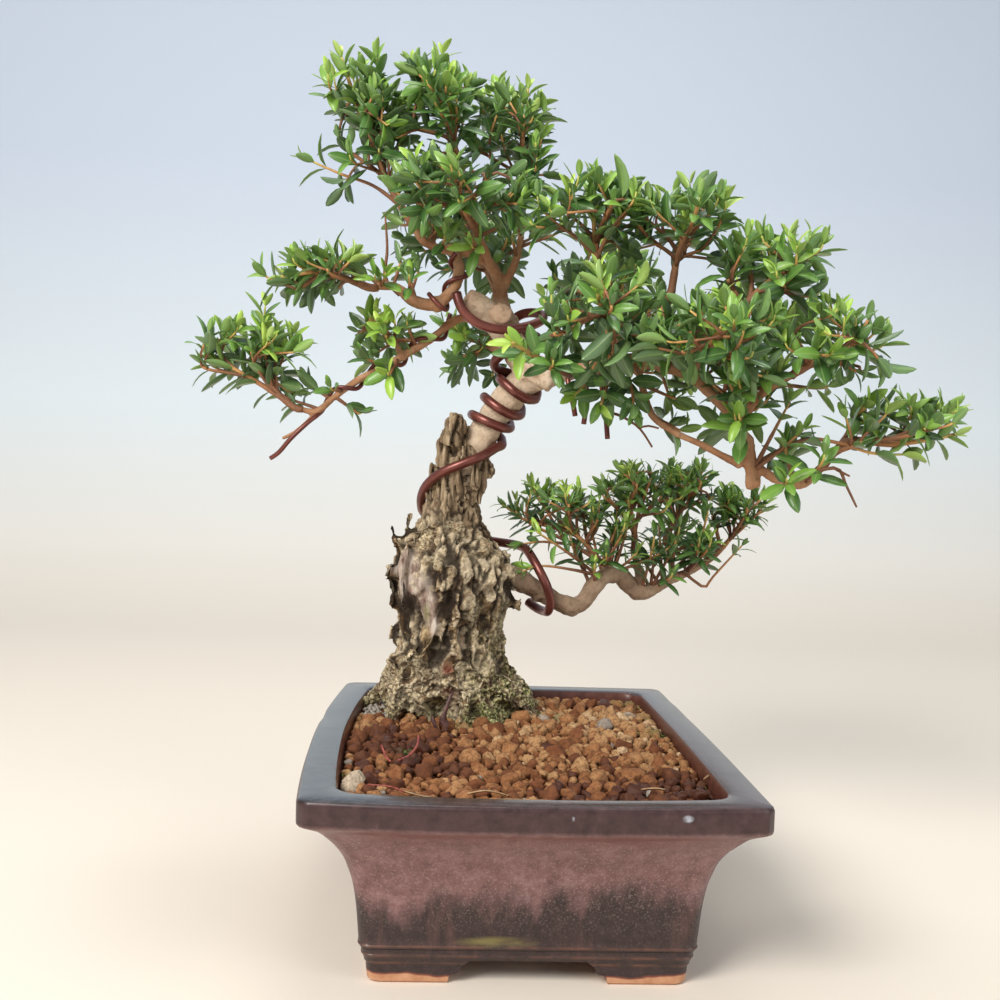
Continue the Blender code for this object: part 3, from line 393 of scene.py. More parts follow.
def tube(route, sides, tip=0.0, wobble=0.0, seed=0.0):
    """Points and faces of a round tube through (x, y, z, radius) rows. tip rounds off its far end."""
    route = np.asarray(route, float)
    spine = route[:, :3]
    along = np.gradient(spine, axis=0)
    along /= np.maximum(np.linalg.norm(along, axis=1), 1e-9)[:, None]
    side = np.cross(along[0], (0.0, 0.0, 1.0))
    if np.linalg.norm(side) < 0.2:
        side = np.cross(along[0], (0.0, 1.0, 0.0))
    turn = 2 * math.pi * np.arange(sides) / sides
    points = []
    for k, (here, way, radius) in enumerate(zip(spine, along, route[:, 3])):
        side = side - way * side.dot(way)
        side /= np.linalg.norm(side)
        other = np.cross(way, side)
        ring = np.outer(np.cos(turn), side) + np.outer(np.sin(turn), other)
        if wobble:
            spots = np.column_stack((np.cos(turn) * 1.6, np.sin(turn) * 1.6,
                                     np.full(sides, k * 0.23 + seed)))
            ring *= (1 + wobble * noise_at(spots, 1.0))[:, None]
        points.append(here + ring * radius)
    count = len(route)
    points.append(np.array([spine[0]]))
    points.append(np.array([spine[-1] + along[-1] * tip * route[-1, 3]]))
    start = count * sides
    faces = []
    for k in range(count - 1):
        for i in range(sides):
            j = (i + 1) % sides
            a = k * sides
            b = a + sides
            faces.append((a + i, a + j, b + j, b + i))
    last = (count - 1) * sides
    for i in range(sides):
        j = (i + 1) % sides
        faces.append((start, j, i))
        faces.append((start + 1, last + i, last + j))
    return np.vstack(points), faces


def stack(parts):
    """Join several (points, faces) into one, and say which part each point came from."""
    points = []
    faces = []
    owner = []
    base = 0
    for k, (some, theirs) in enumerate(parts):
        points.append(some)
        faces += [tuple(base + i for i in face) for face in theirs]
        owner.append(np.full(len(some), k))
        base += len(some)
    return np.vstack(points), faces, np.concatenate(owner)


# Plain helpers for materials. A colour is linear red, green and blue.

class Look:
    """A material under construction: its node tree, with short ways to add to it."""

    def __init__(self, name, **fixed):
        self.material = bpy.data.materials.new(name)
        self.material.use_nodes = True
        self.tree = self.material.node_tree
        self.shader = self.tree.nodes["Principled BSDF"]
        for socket, value in fixed.items():
            self.shader.inputs[socket.replace("_", " ")].default_value = value
        self.place = self.add("TexCoord").outputs["Object"]

    def add(self, kind, inputs=None, **settings):
        made = self.tree.nodes.new("ShaderNode" + kind)
        for key, value in settings.items():
            setattr(made, key, value)
        for socket, value in (inputs or {}).items():
            self.feed(made.inputs[socket], value)
        return made

    def feed(self, socket, value):
        if isinstance(value, bpy.types.NodeSocket):
            self.tree.links.new(value, socket)
        elif isinstance(value, tuple) and len(value) == 3 and socket.type == "RGBA":
            socket.default_value = (*value, 1.0)
        else:
            socket.default_value = value

    def attribute(self, name, output="Fac"):
        return self.add("Attribute", attribute_name=name).outputs[output]

    def stretched(self, scale):
        """The place on the piece, scaled by axis."""
        return self.add("Mapping", {"Vector": self.place, "Scale": scale}).outputs["Vector"]

    def noise(self, size, detail=4.0, rough=0.55, place=None, warp=0.0):
        """Noise from 0 to 1 whose spots are about so many millimetres wide."""
        inputs = {"Vector": place or self.place, "Scale": 1.0 / (size * MM), "Detail": detail,
                  "Roughness": rough, "Distortion": warp}
        return self.add("TexNoise", inputs).outputs[0]

    def ramp(self, source, stops):
        """Colours or greys at places from 0 to 1."""
        made = self.add("ValToRGB", {"Fac": source})
        band = made.color_ramp
        while len(band.elements) < len(stops):
            band.elements.new(0.5)
        for element, (where, colour) in zip(band.elements, stops):
            element.position = where
            grey = isinstance(colour, (int, float))
            element.color = (colour, colour, colour, 1.0) if grey else (*colour, 1.0)
        return made.outputs["Color"]

    def mix(self, part, low, high, blend="MIX"):
        made = self.add("Mix", data_type="RGBA", blend_type=blend)
        self.feed(made.inputs[0], part)
        self.feed(made.inputs[6], low)
        self.feed(made.inputs[7], high)
        return made.outputs[2]

    def calc(self, operation, a, b=0.0, clamp=False):
        made = self.add("Math", operation=operation, use_clamp=clamp)
        self.feed(made.inputs[0], a)
        self.feed(made.inputs[1], b)
        return made.outputs[0]

    def split(self, vector):
        return self.add("SeparateXYZ", {"Vector": vector}).outputs

    def spot(self, centre, size):
        """Grey from 1 at a place in pot millimetres to 0 at its edge, size by axis."""
        middle = tuple(to_row(centre))
        away = self.add("VectorMath", {0: self.place, 1: middle}, operation="SUBTRACT").outputs[0]
        scale = tuple(1.0 / (s * MM) for s in size)
        away = self.add("VectorMath", {0: away, 1: scale}, operation="MULTIPLY").outputs[0]
        length = self.add("VectorMath", {0: away}, operation="LENGTH").outputs["Value"]
        return self.ramp(length, [(0.4, 1.0), (1.0, 0.0)])

    def finish(self, colour, roughness=None, bumps=()):
        """Link the colour, the roughness and the bumps, each (height, distance in mm, strength)."""
        self.feed(self.shader.inputs["Base Color"], colour)
        if roughness is not None:
            self.feed(self.shader.inputs["Roughness"], roughness)
        normal = None
        for height, distance, strength in bumps:
            inputs = {"Height": height, "Distance": distance * MM, "Strength": strength}
            if normal:
                inputs["Normal"] = normal
            normal = self.add("Bump", inputs).outputs["Normal"]
        if normal:
            self.feed(self.shader.inputs["Normal"], normal)
        return self.material


# The pot.

def side_bows(x, y, z, half_x, half_y):
    """Where a point of a level goes when its sides bulge."""
    rise = min(max((z - POT_FLOOR) / (POT_HEIGHT - POT_FLOOR), 0.0), 1.0)
    right, left, back, front = (bow * rise for bow in POT_BOWS)
    across = x / half_x
    along = y / half_y
    x += across * (1 - along * along) * (right if across > 0 else left)
    y += along * (1 - across * across) * (back if along > 0 else front)
    return x, y


def level_ring(inset, z, corner, round_steps=8, side_steps=16):
    """One level of the pot: a rectangle with round corners and bulging sides."""
    half_x = POT_WIDTH / 2 - inset
    half_y = POT_DEPTH / 2 - inset
    signs = ((1, 1), (-1, 1), (-1, -1), (1, -1))
    outline = []
    for quarter, (sx, sy) in enumerate(signs):
        cx = sx * (half_x - corner)
        cy = sy * (half_y - corner)
        for step in range(round_steps + 1):
            angle = math.radians(90 * (quarter + step / round_steps))
            outline.append((cx + corner * math.cos(angle), cy + corner * math.sin(angle)))
        nx, ny = signs[(quarter + 1) % 4]
        nx *= half_x - corner
        ny *= half_y - corner
        angle = math.radians(90 * (quarter + 1))
        end = (nx + corner * math.cos(angle), ny + corner * math.sin(angle))
        start = outline[-1]
        for step in range(1, side_steps):
            t = step / side_steps
            outline.append((start[0] + (end[0] - start[0]) * t, start[1] + (end[1] - start[1]) * t))
    return [(*side_bows(x, y, z, half_x, half_y), z) for x, y in outline]


def lofted(name, rings, smooth=True):
    """Skin a stack of rings with flat ends."""
    count = len(rings[0])
    faces = []
    for k in range(len(rings) - 1):
        for i in range(count):
            j = (i + 1) % count
            faces.append((k * count + i, k * count + j, (k + 1) * count + j, (k + 1) * count + i))
    faces.append(tuple(reversed(range(count))))
    faces.append(tuple(range((len(rings) - 1) * count, len(rings) * count)))
    mesh = new_mesh(name, [point for ring in rings for point in ring], faces, smooth)
    form = bmesh.new()
    form.from_mesh(mesh)
    bmesh.ops.recalc_face_normals(form, faces=form.faces)
    form.to_mesh(mesh)
    form.free()
    return mesh


def fine_profile(points, parts):
    """A profile with extra points on a smooth curve between the given ones."""
    ends = [points[0]] + list(points) + [points[-1]]
    fine = []
    for a, b, c, d in zip(ends, ends[1:], ends[2:], ends[3:]):
        if b == c:
            continue
        for k in range(parts):
            fine.append(tuple(between(p, q, r, s, k / parts) for p, q, r, s in zip(a, b, c, d)))
    fine.append(points[-1])
    return [(max(inset, 0.0), min(z, POT_HEIGHT)) for inset, z in fine]


def cut(item, mesh, solver="MANIFOLD"):
    """Take one closed mesh out of an object."""
    tool = loose("tool", mesh)
    step = item.modifiers.new("cut", "BOOLEAN")
    step.operation = "DIFFERENCE"
    step.solver = solver
    step.object = tool
    made = applied(item)
    item.modifiers.clear()
    item.data = made
    drop(tool)


def make_glaze():
    """Mottled glaze: plum above, charcoal below, with drips, speckles, worn edges and bare clay feet."""
    look = Look("glaze", Coat_Weight=0.14, Coat_Roughness=0.2, Specular_IOR_Level=0.38)
    x, y, z = look.split(look.place)
    height = look.calc("MULTIPLY", z, 1 / (POT_HEIGHT * MM))
    drips = look.noise(15.0, 5.0, 0.65, look.stretched((1.0, 1.0, 0.22)))
    broad = look.noise(42.0, 3.0)
    mottle = look.noise(5.0, 8.0, 0.72)
    fine = look.noise(0.9, 3.0, 0.7)
    edge = look.calc("ADD", look.calc("MULTIPLY", drips, 0.6), look.calc("MULTIPLY", broad, 0.2))
    edge = look.calc("ADD", edge, look.calc("MULTIPLY", x, 0.8))
    line = look.calc("SUBTRACT", height, edge)
    plum = look.ramp(mottle, [(0.3, (0.12, 0.056, 0.054)), (0.5, (0.195, 0.096, 0.094)),
                              (0.7, (0.285, 0.165, 0.162))])
    charcoal = look.ramp(mottle, [(0.3, (0.018, 0.011, 0.011)), (0.7, (0.05, 0.029, 0.028))])
    body = look.mix(look.ramp(line, [(0.0, 0.0), (0.16, 1.0)]), charcoal, plum)
    streak = look.ramp(look.noise(6.0, 4.0, 0.6, look.stretched((1.0, 1.0, 0.12))),
                       [(0.56, 0.0), (0.72, 0.55)])
    body = look.mix(streak, body, (0.12, 0.055, 0.05))
    speck = look.ramp(look.noise(0.8, 4.0, 0.75), [(0.54, 0.0), (0.64, 0.65)])
    body = look.mix(look.calc("MULTIPLY", speck, look.ramp(height, [(0.25, 0.12), (0.55, 0.8)])),
                    body, (0.42, 0.3, 0.27))
    # The reddish strip under the rim, the darker rim, and on the rim's top a painted grey-blue sheen on the
    # left (a painted reflection) beside reddish brown glaze on the right.
    strip = look.ramp(height, [(0.76, 0.0), (0.82, 0.35), (0.845, 0.6), (0.87, 0.0)])
    body = look.mix(look.calc("MULTIPLY", strip, look.ramp(broad, [(0.3, 0.35), (0.6, 1.0)])),
                    body, (0.15, 0.045, 0.034))
    rim = look.ramp(mottle, [(0.3, (0.022, 0.009, 0.01)), (0.62, (0.062, 0.028, 0.029)),
                             (0.8, (0.13, 0.075, 0.072))])
    normal = look.add("NewGeometry").outputs["Normal"]
    up = look.split(normal)[2]
    body = look.mix(look.ramp(height, [(0.862, 0.0), (0.885, 1.0)]), body, rim)
    side = look.calc("ADD", look.calc("MULTIPLY", look.calc("SUBTRACT", x,
                                                            look.calc("MULTIPLY", y, 0.45)), 6.0),
                                                            look.calc("MULTIPLY", broad, 0.8))
    # The blue-grey on the left of the rim's top is a painted sheen, a painted reflection, not the glaze's
    # own colour.
    painted_sheen_left = look.ramp(mottle, [(0.3, (0.026, 0.032, 0.038)), (0.7, (0.08, 0.088, 0.098))])
    right_top = look.ramp(mottle, [(0.3, (0.034, 0.019, 0.019)), (0.7, (0.1, 0.06, 0.056))])
    top = look.mix(look.ramp(side, [(0.15, 0.0), (0.55, 1.0)]), painted_sheen_left, right_top)
    on_top = look.calc("MULTIPLY", look.ramp(up, [(0.55, 0.0), (0.9, 1.0)]),
                       look.ramp(height, [(0.9, 0.0), (0.95, 1.0)]))
    body = look.mix(on_top, body, top)
    inside = look.calc("MULTIPLY", look.attribute("inner"), look.ramp(up, [(0.5, 1.0), (0.8, 0.0)]))
    body = look.mix(inside, body, look.ramp(mottle,
                                            [(0.3, (0.06, 0.018, 0.012)), (0.7, (0.15, 0.05, 0.032))]))
    # Thin brown lines where the glaze runs off the ridges round the foot.
    ridge = look.attribute("ridge")
    worn = look.calc("MULTIPLY", ridge, look.ramp(look.noise(9.0, 4.0, 0.6), [(0.38, 0.05), (0.62, 0.6)]))
    body = look.mix(worn, body, (0.2, 0.08, 0.044))
    stain = look.calc("MULTIPLY", look.spot((-12, -96, 16.5), (17, 12, 2.6)),
                      look.ramp(look.noise(4.0, 4.0, 0.6, look.stretched((0.3, 1.0, 1.0))),
                                [(0.35, 0.1), (0.6, 0.8)]))
    body = look.mix(stain, body, (0.2, 0.165, 0.055))
    chip = look.calc("MAXIMUM", look.spot((50.5, -117.5, 68.6), (2.2, 3.0, 1.5)),
                     look.spot((11.2, -120.5, 68.4), (0.8, 2.0, 1.5)))
    chip = look.calc("MULTIPLY", chip, look.ramp(look.noise(1.5, 4.0), [(0.35, 0.2), (0.55, 1.0)]))
    body = look.mix(chip, body, (0.42, 0.44, 0.5))
    clay_line = look.calc("MULTIPLY", look.calc("SUBTRACT", z,
                                                look.calc("MULTIPLY", look.noise(16.0, 2.0), 0.0055)),
                                                100.0)
    clay = look.ramp(clay_line, [(0.0, 1.0), (0.045, 0.0)])
    red_line = look.ramp(clay_line, [(0.04, 1.0), (0.11, 0.0)])
    body = look.mix(red_line, body, (0.21, 0.06, 0.04))
    under = look.calc("MULTIPLY", look.attribute("under"), 1.0)
    clay = look.calc("MAXIMUM", clay, under)
    bare = look.ramp(look.noise(4.0, 6.0, 0.6), [(0.3, (0.42, 0.19, 0.095)),
                                                 (0.7, (0.6, 0.33, 0.19))])
    body = look.mix(clay, body, bare)
    rough = look.ramp(mottle, [(0.3, 0.3), (0.7, 0.5)])
    rough = look.mix(clay, look.mix(on_top, rough, (0.22, 0.22, 0.22)), (0.9, 0.9, 0.9))
    return look.finish(body, rough, [(look.noise(11.0, 3.0), 0.5, 0.25), (mottle, 0.12, 0.25),
                                     (fine, 0.05, 0.3)])


def make_pot():
    """The glazed pot with its thick hollowed rim, the ridges round its foot and its four feet."""
    outside = fine_profile(POT_OUTSIDE, 4)
    ridges = (14.4, 10.6, 7.6)
    worn = {}
    rings = [level_ring(FOOT_INNER + 1.0, POT_UNDERSIDE, POT_CORNER),
             level_ring(FOOT_INNER, 0.0, POT_CORNER)]
    rings.append(level_ring(POT_OUTSIDE[0][0] + 0.8, 0.0, POT_CORNER))
    profile = sorted(set([z for _, z in outside] + [z + d for z in ridges for d in (-0.7, -0.25, 0.25,
                                                                                    0.7)]))
    insets = {z: inset for inset, z in outside}
    heights = np.array([z for _, z in outside])
    depths = np.array([inset for inset, _ in outside])
    for z in profile:
        if z < 0.5:
            continue
        inset = insets.get(z, float(np.interp(z, heights, depths)))
        proud = sum(math.exp(-((z - ridge) / 0.45) ** 2) for ridge in ridges)
        rings.append(level_ring(inset - 0.45 * proud, z, POT_CORNER))
        worn[round(z, 3)] = min(proud, 1.0)
    for inset, z in fine_profile(POT_INSIDE, 3):
        rings.append(level_ring(inset, z, POT_INNER_CORNER))
    pot = loose("pot_form", lofted("pot_form", rings))
    short = [(half, z) for half, z in FOOT_GAP] + [(-half, z) for half, z in reversed(FOOT_GAP)]
    long_side = [(u + math.copysign(FOOT_GAP_LONG_EXTRA, u), z) for u, z in short]
    for outline, axis in ((short, "y"), (long_side, "x")):
        rings = []
        for w in (-POT_DEPTH, POT_DEPTH):
            rings.append([(u, w, v) if axis == "y" else (w, u, v) for u, v in outline])
        cut(pot, lofted("gap", rings))
    for side in (-1, 1):
        circle = [(DRAIN_RADIUS * math.cos(a), DRAIN_RADIUS * math.sin(a) + side * DRAIN_OFFSET)
                  for a in np.linspace(0, 2 * math.pi, 40, endpoint=False)]
        cut(pot, lofted("drain", [[(x, y, z) for x, y in circle] for z in (0.0, 30.0)]))
    mesh = pot.data
    points, normals = points_of(mesh)
    # The hand-made pot is a little uneven, never past its own box.
    sway = noise_at(points, 45.0, 3.0)
    inward = -np.sign(points[:, :2]) * (np.abs(normals[:, :2]) > 0.5)
    lift = ramped(points[:, 2], 16.0, 40.0) * 0.55
    points[:, :2] += inward * (lift * (0.5 + 0.5 * sway))[:, None]
    # Small dents along the right and left rim.
    for spot, size, deep in (((80.5, 84, 69), 5, 0.7), ((81, 42, 69), 4, 0.6), ((-84, 30, 70), 6, 0.9),
                             ((-80, -18, 72), 5, 0.5)):
        points -= normals * (near_spot(points, spot, size) * deep)[:, None]
    set_points(mesh, points)
    half_x = POT_WIDTH / 2 - 8.0
    half_y = POT_DEPTH / 2 - 8.0
    inner = (np.abs(points[:, 0]) < half_x) & (np.abs(points[:, 1]) < half_y) & (points[:, 2] > 45.0)
    inner &= (points[:, :2] * normals[:, :2]).sum(axis=1) < 0
    write(mesh, "inner", inner * 1.0)
    ridge = [max(math.exp(-((z - r) / 0.5) ** 2) for r in ridges) for z in points[:, 2]]
    write(mesh, "ridge", np.array(ridge) * (normals[:, 2] > -0.8))
    low = (points[:, 2] < POT_FLOOR) & (np.abs(points[:, 0]) < POT_WIDTH / 2 - 27)
    low &= np.abs(points[:, 1]) < POT_DEPTH / 2 - 27
    write(mesh, "under", low * 1.0)
    mesh.shade_smooth()
    mesh.set_sharp_from_angle(angle=math.radians(38))
    put("glazed_pot", mesh, [make_glaze()], "glaze", "pot")
    drop(pot)


def dress_fittings():
    """Looks for the drain screens and the wires that hold them, whose shapes are right."""
    plastic = Look("screen_plastic", Roughness=0.6)
    grain = plastic.noise(1.2, 3.0)
    plastic = plastic.finish(plastic.ramp(grain, [(0.3, (0.01, 0.01, 0.01)),
                                                  (0.7, (0.035, 0.033, 0.03))]),
                             None, [(grain, 0.1, 0.4)])
    bare = Look("staple_wire", Metallic=1.0)
    grain = bare.noise(1.5, 4.0)
    bare = bare.finish(bare.ramp(grain, [(0.3, (0.36, 0.36, 0.37)), (0.7, (0.6, 0.6, 0.61))]),
                       bare.ramp(grain, [(0.3, 0.3), (0.7, 0.5)]))
    for name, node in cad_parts.items():
        if name.startswith("drain_screen"):
            node.data.materials.clear()
            node.data.materials.append(plastic)
        elif name.startswith("screen_wire"):
            node.data.materials.clear()
            node.data.materials.append(bare)


# Studio: a pale sweep, soft lamps and the camera at the photograph's place.

def make_studio():
    """A plain pale floor that turns up into a pale wall far behind, a soft sky and soft lamps."""
    profile = [(-2.6, 0.0), (-1.2, 0.0), (0.2, 0.0), (0.8, 0.0)]
    radius = 0.7
    for k in range(1, 17):
        angle = math.radians(90 * k / 16)
        profile.append((0.8 + radius * math.sin(angle), radius * (1 - math.cos(angle))))
    profile.append((0.8 + radius, 3.0))
    points = [(x, y, z) for y, z in profile for x in (-3.0, 3.0)]
    faces = [(2 * k, 2 * k + 1, 2 * k + 3, 2 * k + 2) for k in range(len(profile) - 1)]
    mesh = bpy.data.meshes.new("floor")
    mesh.from_pydata(points, [], faces)
    mesh.shade_smooth()
    floor = bpy.data.objects.new("floor", mesh)
    bpy.context.scene.collection.objects.link(floor)
    look = Look("floor", Roughness=0.9, Specular_IOR_Level=0.1)
    height = look.split(look.place)[2]
    tone = look.ramp(look.calc("MULTIPLY", height, 0.8),
                     [(0.0, (0.82, 0.74, 0.64)), (0.06, (0.86, 0.82, 0.75)), (0.22, (0.8, 0.87, 0.9)),
                      (0.55, (0.66, 0.74, 0.87))])
    mesh.materials.append(look.finish(tone))

    world = bpy.data.worlds.new("soft_sky")
    world.use_nodes = True
    sky = world.node_tree.nodes["Background"]
    sky.inputs["Color"].default_value = (0.93, 0.96, 1.0, 1.0)
    sky.inputs["Strength"].default_value = 0.46
    bpy.context.scene.world = world
    for name, place, size, power, colour in (
            ("key", (-0.8, -1.05, 1.05), 0.75, 25.0, (1.0, 0.97, 0.92)),
            ("fill", (1.1, -0.9, 0.7), 1.0, 6.0, (0.94, 0.97, 1.0)),
            ("top", (0.1, 0.35, 1.5), 0.8, 7.0, (1.0, 0.99, 0.96))):
        lamp = bpy.data.lights.new(name, "AREA")
        lamp.shape = "DISK"
        lamp.size = size
        lamp.energy = power
        lamp.color = colour
        item = bpy.data.objects.new(name, lamp)
        item.location = place
        item.rotation_euler = (Vector((0.0, 0.0, 0.18)) - Vector(place)).to_track_quat("-Z",
                                                                                       "Y").to_euler()
        bpy.context.scene.collection.objects.link(item)


def make_camera():
    """The camera where the photographer's was, found from the pot's rim and feet."""
    yaw, pitch, roll = (math.radians(angle) for angle in (2.9, 1.43, 1.81))
    focal_pixels = 1227.5
    picture = 1000.0
    eye = Vector((-0.228, -3.196, 1.1225)) * POT_WIDTH * MM + ORIGIN
    ahead = Vector((math.sin(yaw) * math.cos(pitch), math.cos(yaw) * math.cos(pitch), -math.sin(pitch)))
    level_right = Vector((math.cos(yaw), -math.sin(yaw), 0.0))
    level_up = level_right.cross(ahead)
    right = level_right * math.cos(roll) + level_up * math.sin(roll)
    up = level_up * math.cos(roll) - level_right * math.sin(roll)
    lens = bpy.data.cameras.new("camera")
    lens.sensor_width = 36.0
    lens.lens = lens.sensor_width * focal_pixels / picture
    lens.clip_start = 0.02
    lens.clip_end = 20.0
    camera = bpy.data.objects.new("camera", lens)
    bpy.context.scene.collection.objects.link(camera)
    turn = Matrix((right, up, -ahead)).transposed().to_4x4()
    camera.matrix_world = Matrix.Translation(eye) @ turn
    bpy.context.scene.camera = camera


# The wood.

def trunk_outline(z, sides):
    """The old trunk's outline at one height, with its big grooves and root lobes."""
    heights = [section[0] for section in TRUNK_SECTIONS]
    left, right, front, back = (np.interp(z, heights, [s[k] for s in TRUNK_SECTIONS]) for k in (1, 2, 3,
                                                                                                4))
    base = TRUNK_SECTIONS[1][0]
    flare = max(0.0, 1.0 - max(z - base, 0.0) / ROOT_HEIGHT)
    cx = (left + right) / 2
    cy = (front + back) / 2
    outline = []
    for i in range(sides):
        angle = 2 * math.pi * i / sides
        c = math.cos(angle)
        s = math.sin(angle)
        radius = 1.0 / math.sqrt((c / (right - left) * 2) ** 2 + (s / (back - front) * 2) ** 2)
        ridge = noise.noise(Vector((3.1 * c, 3.1 * s, z * 0.012)))
        knot = noise.noise(Vector((1.9 * c + 7, 1.9 * s, z * 0.05)))
        lobe = -0.45
        for root in ROOT_ANGLES:
            away = (math.degrees(angle) - root + 180) % 360 - 180
            lobe = max(lobe, math.exp(-(away / ROOT_WIDTH) ** 2) - 0.45)
        radius *= 1 + 0.1 * ridge + 0.08 * knot + 0.26 * flare * lobe
        outline.append((cx + radius * c, cy + radius * s, z))
    return outline


def lump(centre, size, rough=0.25, shift=0.0, detail=3):
    """A rounded uneven lump as a mesh, size by axis."""
    form = bmesh.new()
    bmesh.ops.create_icosphere(form, subdivisions=detail, radius=1.0)
    for vertex in form.verts:
        grow = 1 + rough * noise.noise(vertex.co * 1.5 + Vector((shift, 0, 0)))
        grow += 0.5 * rough * noise.noise(vertex.co * 3.4 + Vector((0, shift, 0)))
        vertex.co *= grow
        vertex.co = Vector([c * s for c, s in zip(vertex.co, size)]) + Vector(centre)
        vertex.co = Vector(to_row(vertex.co))
    mesh = bpy.data.meshes.new("lump")
    form.to_mesh(mesh)
    form.free()
    return mesh


def tube_mesh(name, route, sides, tip=0.6, wobble=0.12, seed=0.0):
    points, faces = tube(route, sides, tip, wobble, seed)
    return new_mesh(name, points, faces)


# Lumps on the old trunk: middle, size by axis.
KNOBS = [
    ((-3.0, 52, 137), (4.8, 4.6, 4.8)), ((-29.6, 39.5, 132.8), (4.0, 3.4, 5.2)),
    ((-20.4, 40.5, 118.9), (3.8, 3.4, 6.6)),
    ((-36.5, 41, 141.4), (4.4, 3.2, 3.4)), ((-22.7, 41.5, 141.3), (2.2, 2.2, 2.2)),
    ((-15.4, 45, 149), (5.0, 3.4, 4.6)),
    ((-28.7, 46, 156), (5.4, 3.0, 5.0)), ((-9.5, 47, 144), (4.2, 3.2, 4.6)),
    ((-20, 43.5, 146.5), (2.6, 2.4, 2.4)),
    ((-24.5, 39.5, 125.5), (2.6, 2.4, 3.2)), ((-46.4, 43, 96), (5.6, 4.4, 5.6)),
    ((-54.5, 47, 77), (5.0, 4.6, 6.0)),
    ((-44, 47, 152), (5.4, 3.2, 7.0)), ((1.0, 58, 121), (3.4, 4.0, 4.6)),
    ((-1.0, 55, 129), (3.2, 3.6, 3.2)),
    ((-5.5, 57, 104), (2.4, 4.0, 5.0)), ((-59, 51, 135), (3.2, 4.4, 6.0)),
    ((-57.5, 52, 124), (3.0, 4.6, 6.0)),
    ((-41, 39.5, 104), (3.4, 2.4, 7.0)), ((-35, 39.5, 108), (2.4, 2.0, 5.0)),
    ((-30, 87, 128), (7, 4, 8)), ((-52, 80, 140), (5, 5, 7)), ((-45, 85, 108), (7, 4, 6)),
    ((-14, 85, 112), (6, 4, 8)), ((-57, 70, 104), (3.0, 6, 7)),
]
# Crusty lumps round the foot.
CRUSTS = [
    ((-53, 51, 92), (6, 7, 7)), ((-50, 45, 83), (7, 6, 7)), ((-44, 42.5, 74), (8, 5, 6)),
    ((-56, 57, 77), (6, 8, 7)),
    ((-40, 41.5, 90), (5, 3.6, 8)), ((-28, 40, 88), (5, 3.4, 7)), ((-17, 41, 80), (6, 3.4, 8)),
    ((-57, 66, 87), (4, 7, 8)), ((-10, 45, 90), (4, 4, 6)), ((-22, 40, 98), (5, 2.6, 6)),
    ((-47, 82, 83), (8, 6, 8)), ((-20, 86, 84), (8, 6, 9)), ((-4, 79, 88), (5, 6, 7)),
]
# Shards of dead wood that stand off the trunk: (x, y, z, radius) rows.
SHARDS = [
    [(-55, 54, 146, 3.4), (-57.5, 54, 152, 2.6), (-59, 53.5, 157.5, 2.0)],
    [(-53, 56, 150, 3.0), (-52, 57, 157, 2.2), (-50.5, 57, 163, 1.3)],
    [(-33, 52, 196, 5.6), (-31.5, 51, 202, 5.2), (-30.5, 50.5, 207, 4.4), (-30, 50.5, 210.5, 2.6)],
    [(-35.5, 54, 186, 3.4), (-36.5, 53.5, 193, 2.8), (-37, 53.5, 198, 1.4)],
    [(-39, 55.5, 176, 3.4), (-40, 56, 181, 2.4), (-40.5, 56, 187, 1.2)],
    [(-41, 58, 170, 3.0), (-42, 58, 174, 2.2), (-42.5, 59, 178, 0.8)],
    [(-17, 55, 190, 3.0), (-14.4, 54, 187, 2.8), (-13.4, 53.5, 183.5, 2.4), (-13.8, 53, 180.5, 1.2)],
    [(-18, 55, 184, 2.6), (-18, 54, 178, 2.6), (-19, 53.5, 172, 2.0), (-18, 53, 168, 0.9)],
    [(-30, 52, 190, 3.2), (-27, 51, 180, 3.0), (-25, 50, 170, 2.4)],
    [(-26, 52, 196, 3.0), (-21, 51.5, 186, 2.8), (-20, 50, 176, 2.4)],
    [(-34, 52, 188, 2.6), (-33, 50, 176, 2.6), (-33, 47, 164, 2.2)],
    [(-40, 49, 158, 4.0), (-41, 47, 150, 3.4), (-43, 44, 142, 2.4)],
    [(-50, 45, 150, 2.6), (-53, 43, 140, 2.4), (-54, 41, 128, 2.2), (-51, 40, 118, 1.8)],
    [(-36, 38.5, 120, 2.4), (-38, 38, 108, 2.6), (-42, 39, 98, 2.6), (-44, 40, 90, 2.0)],
    [(-27, 38.5, 110, 2.0), (-25, 38, 102, 2.4), (-19, 38.5, 93, 2.6), (-10, 41, 84, 3.2),
     (2, 46, 76, 4.0), (11, 52, 69, 3.6)],
    [(-12, 44, 108, 2.4), (-13, 42.5, 100, 2.6), (-8, 45, 90, 3.0), (2, 51, 80, 3.4), (11, 57, 70, 4.0),
     (15, 60, 65, 3.2)],
    [(-5, 56, 106, 2.6), (-5, 55, 97, 2.8), (1, 60, 86, 3.4), (9, 66, 75, 3.8), (14, 70, 66, 3.2)],
    [(-52, 42, 84, 5), (-55, 38, 74, 4.6), (-57, 35, 66, 3.6)],
    [(-24, 38, 84, 4.4), (-22, 34, 74, 4.2), (-20, 31, 66, 3.4)],
    [(-56, 72, 86, 5), (-64, 76, 74, 4.2), (-70, 78, 65, 3.2)],
    [(-38, 86, 84, 6), (-44, 95, 73, 4.6), (-48, 100, 65, 3.4)],
    [(-8, 84, 84, 6), (-2, 93, 73, 4.8), (2, 99, 65, 3.4)],
]
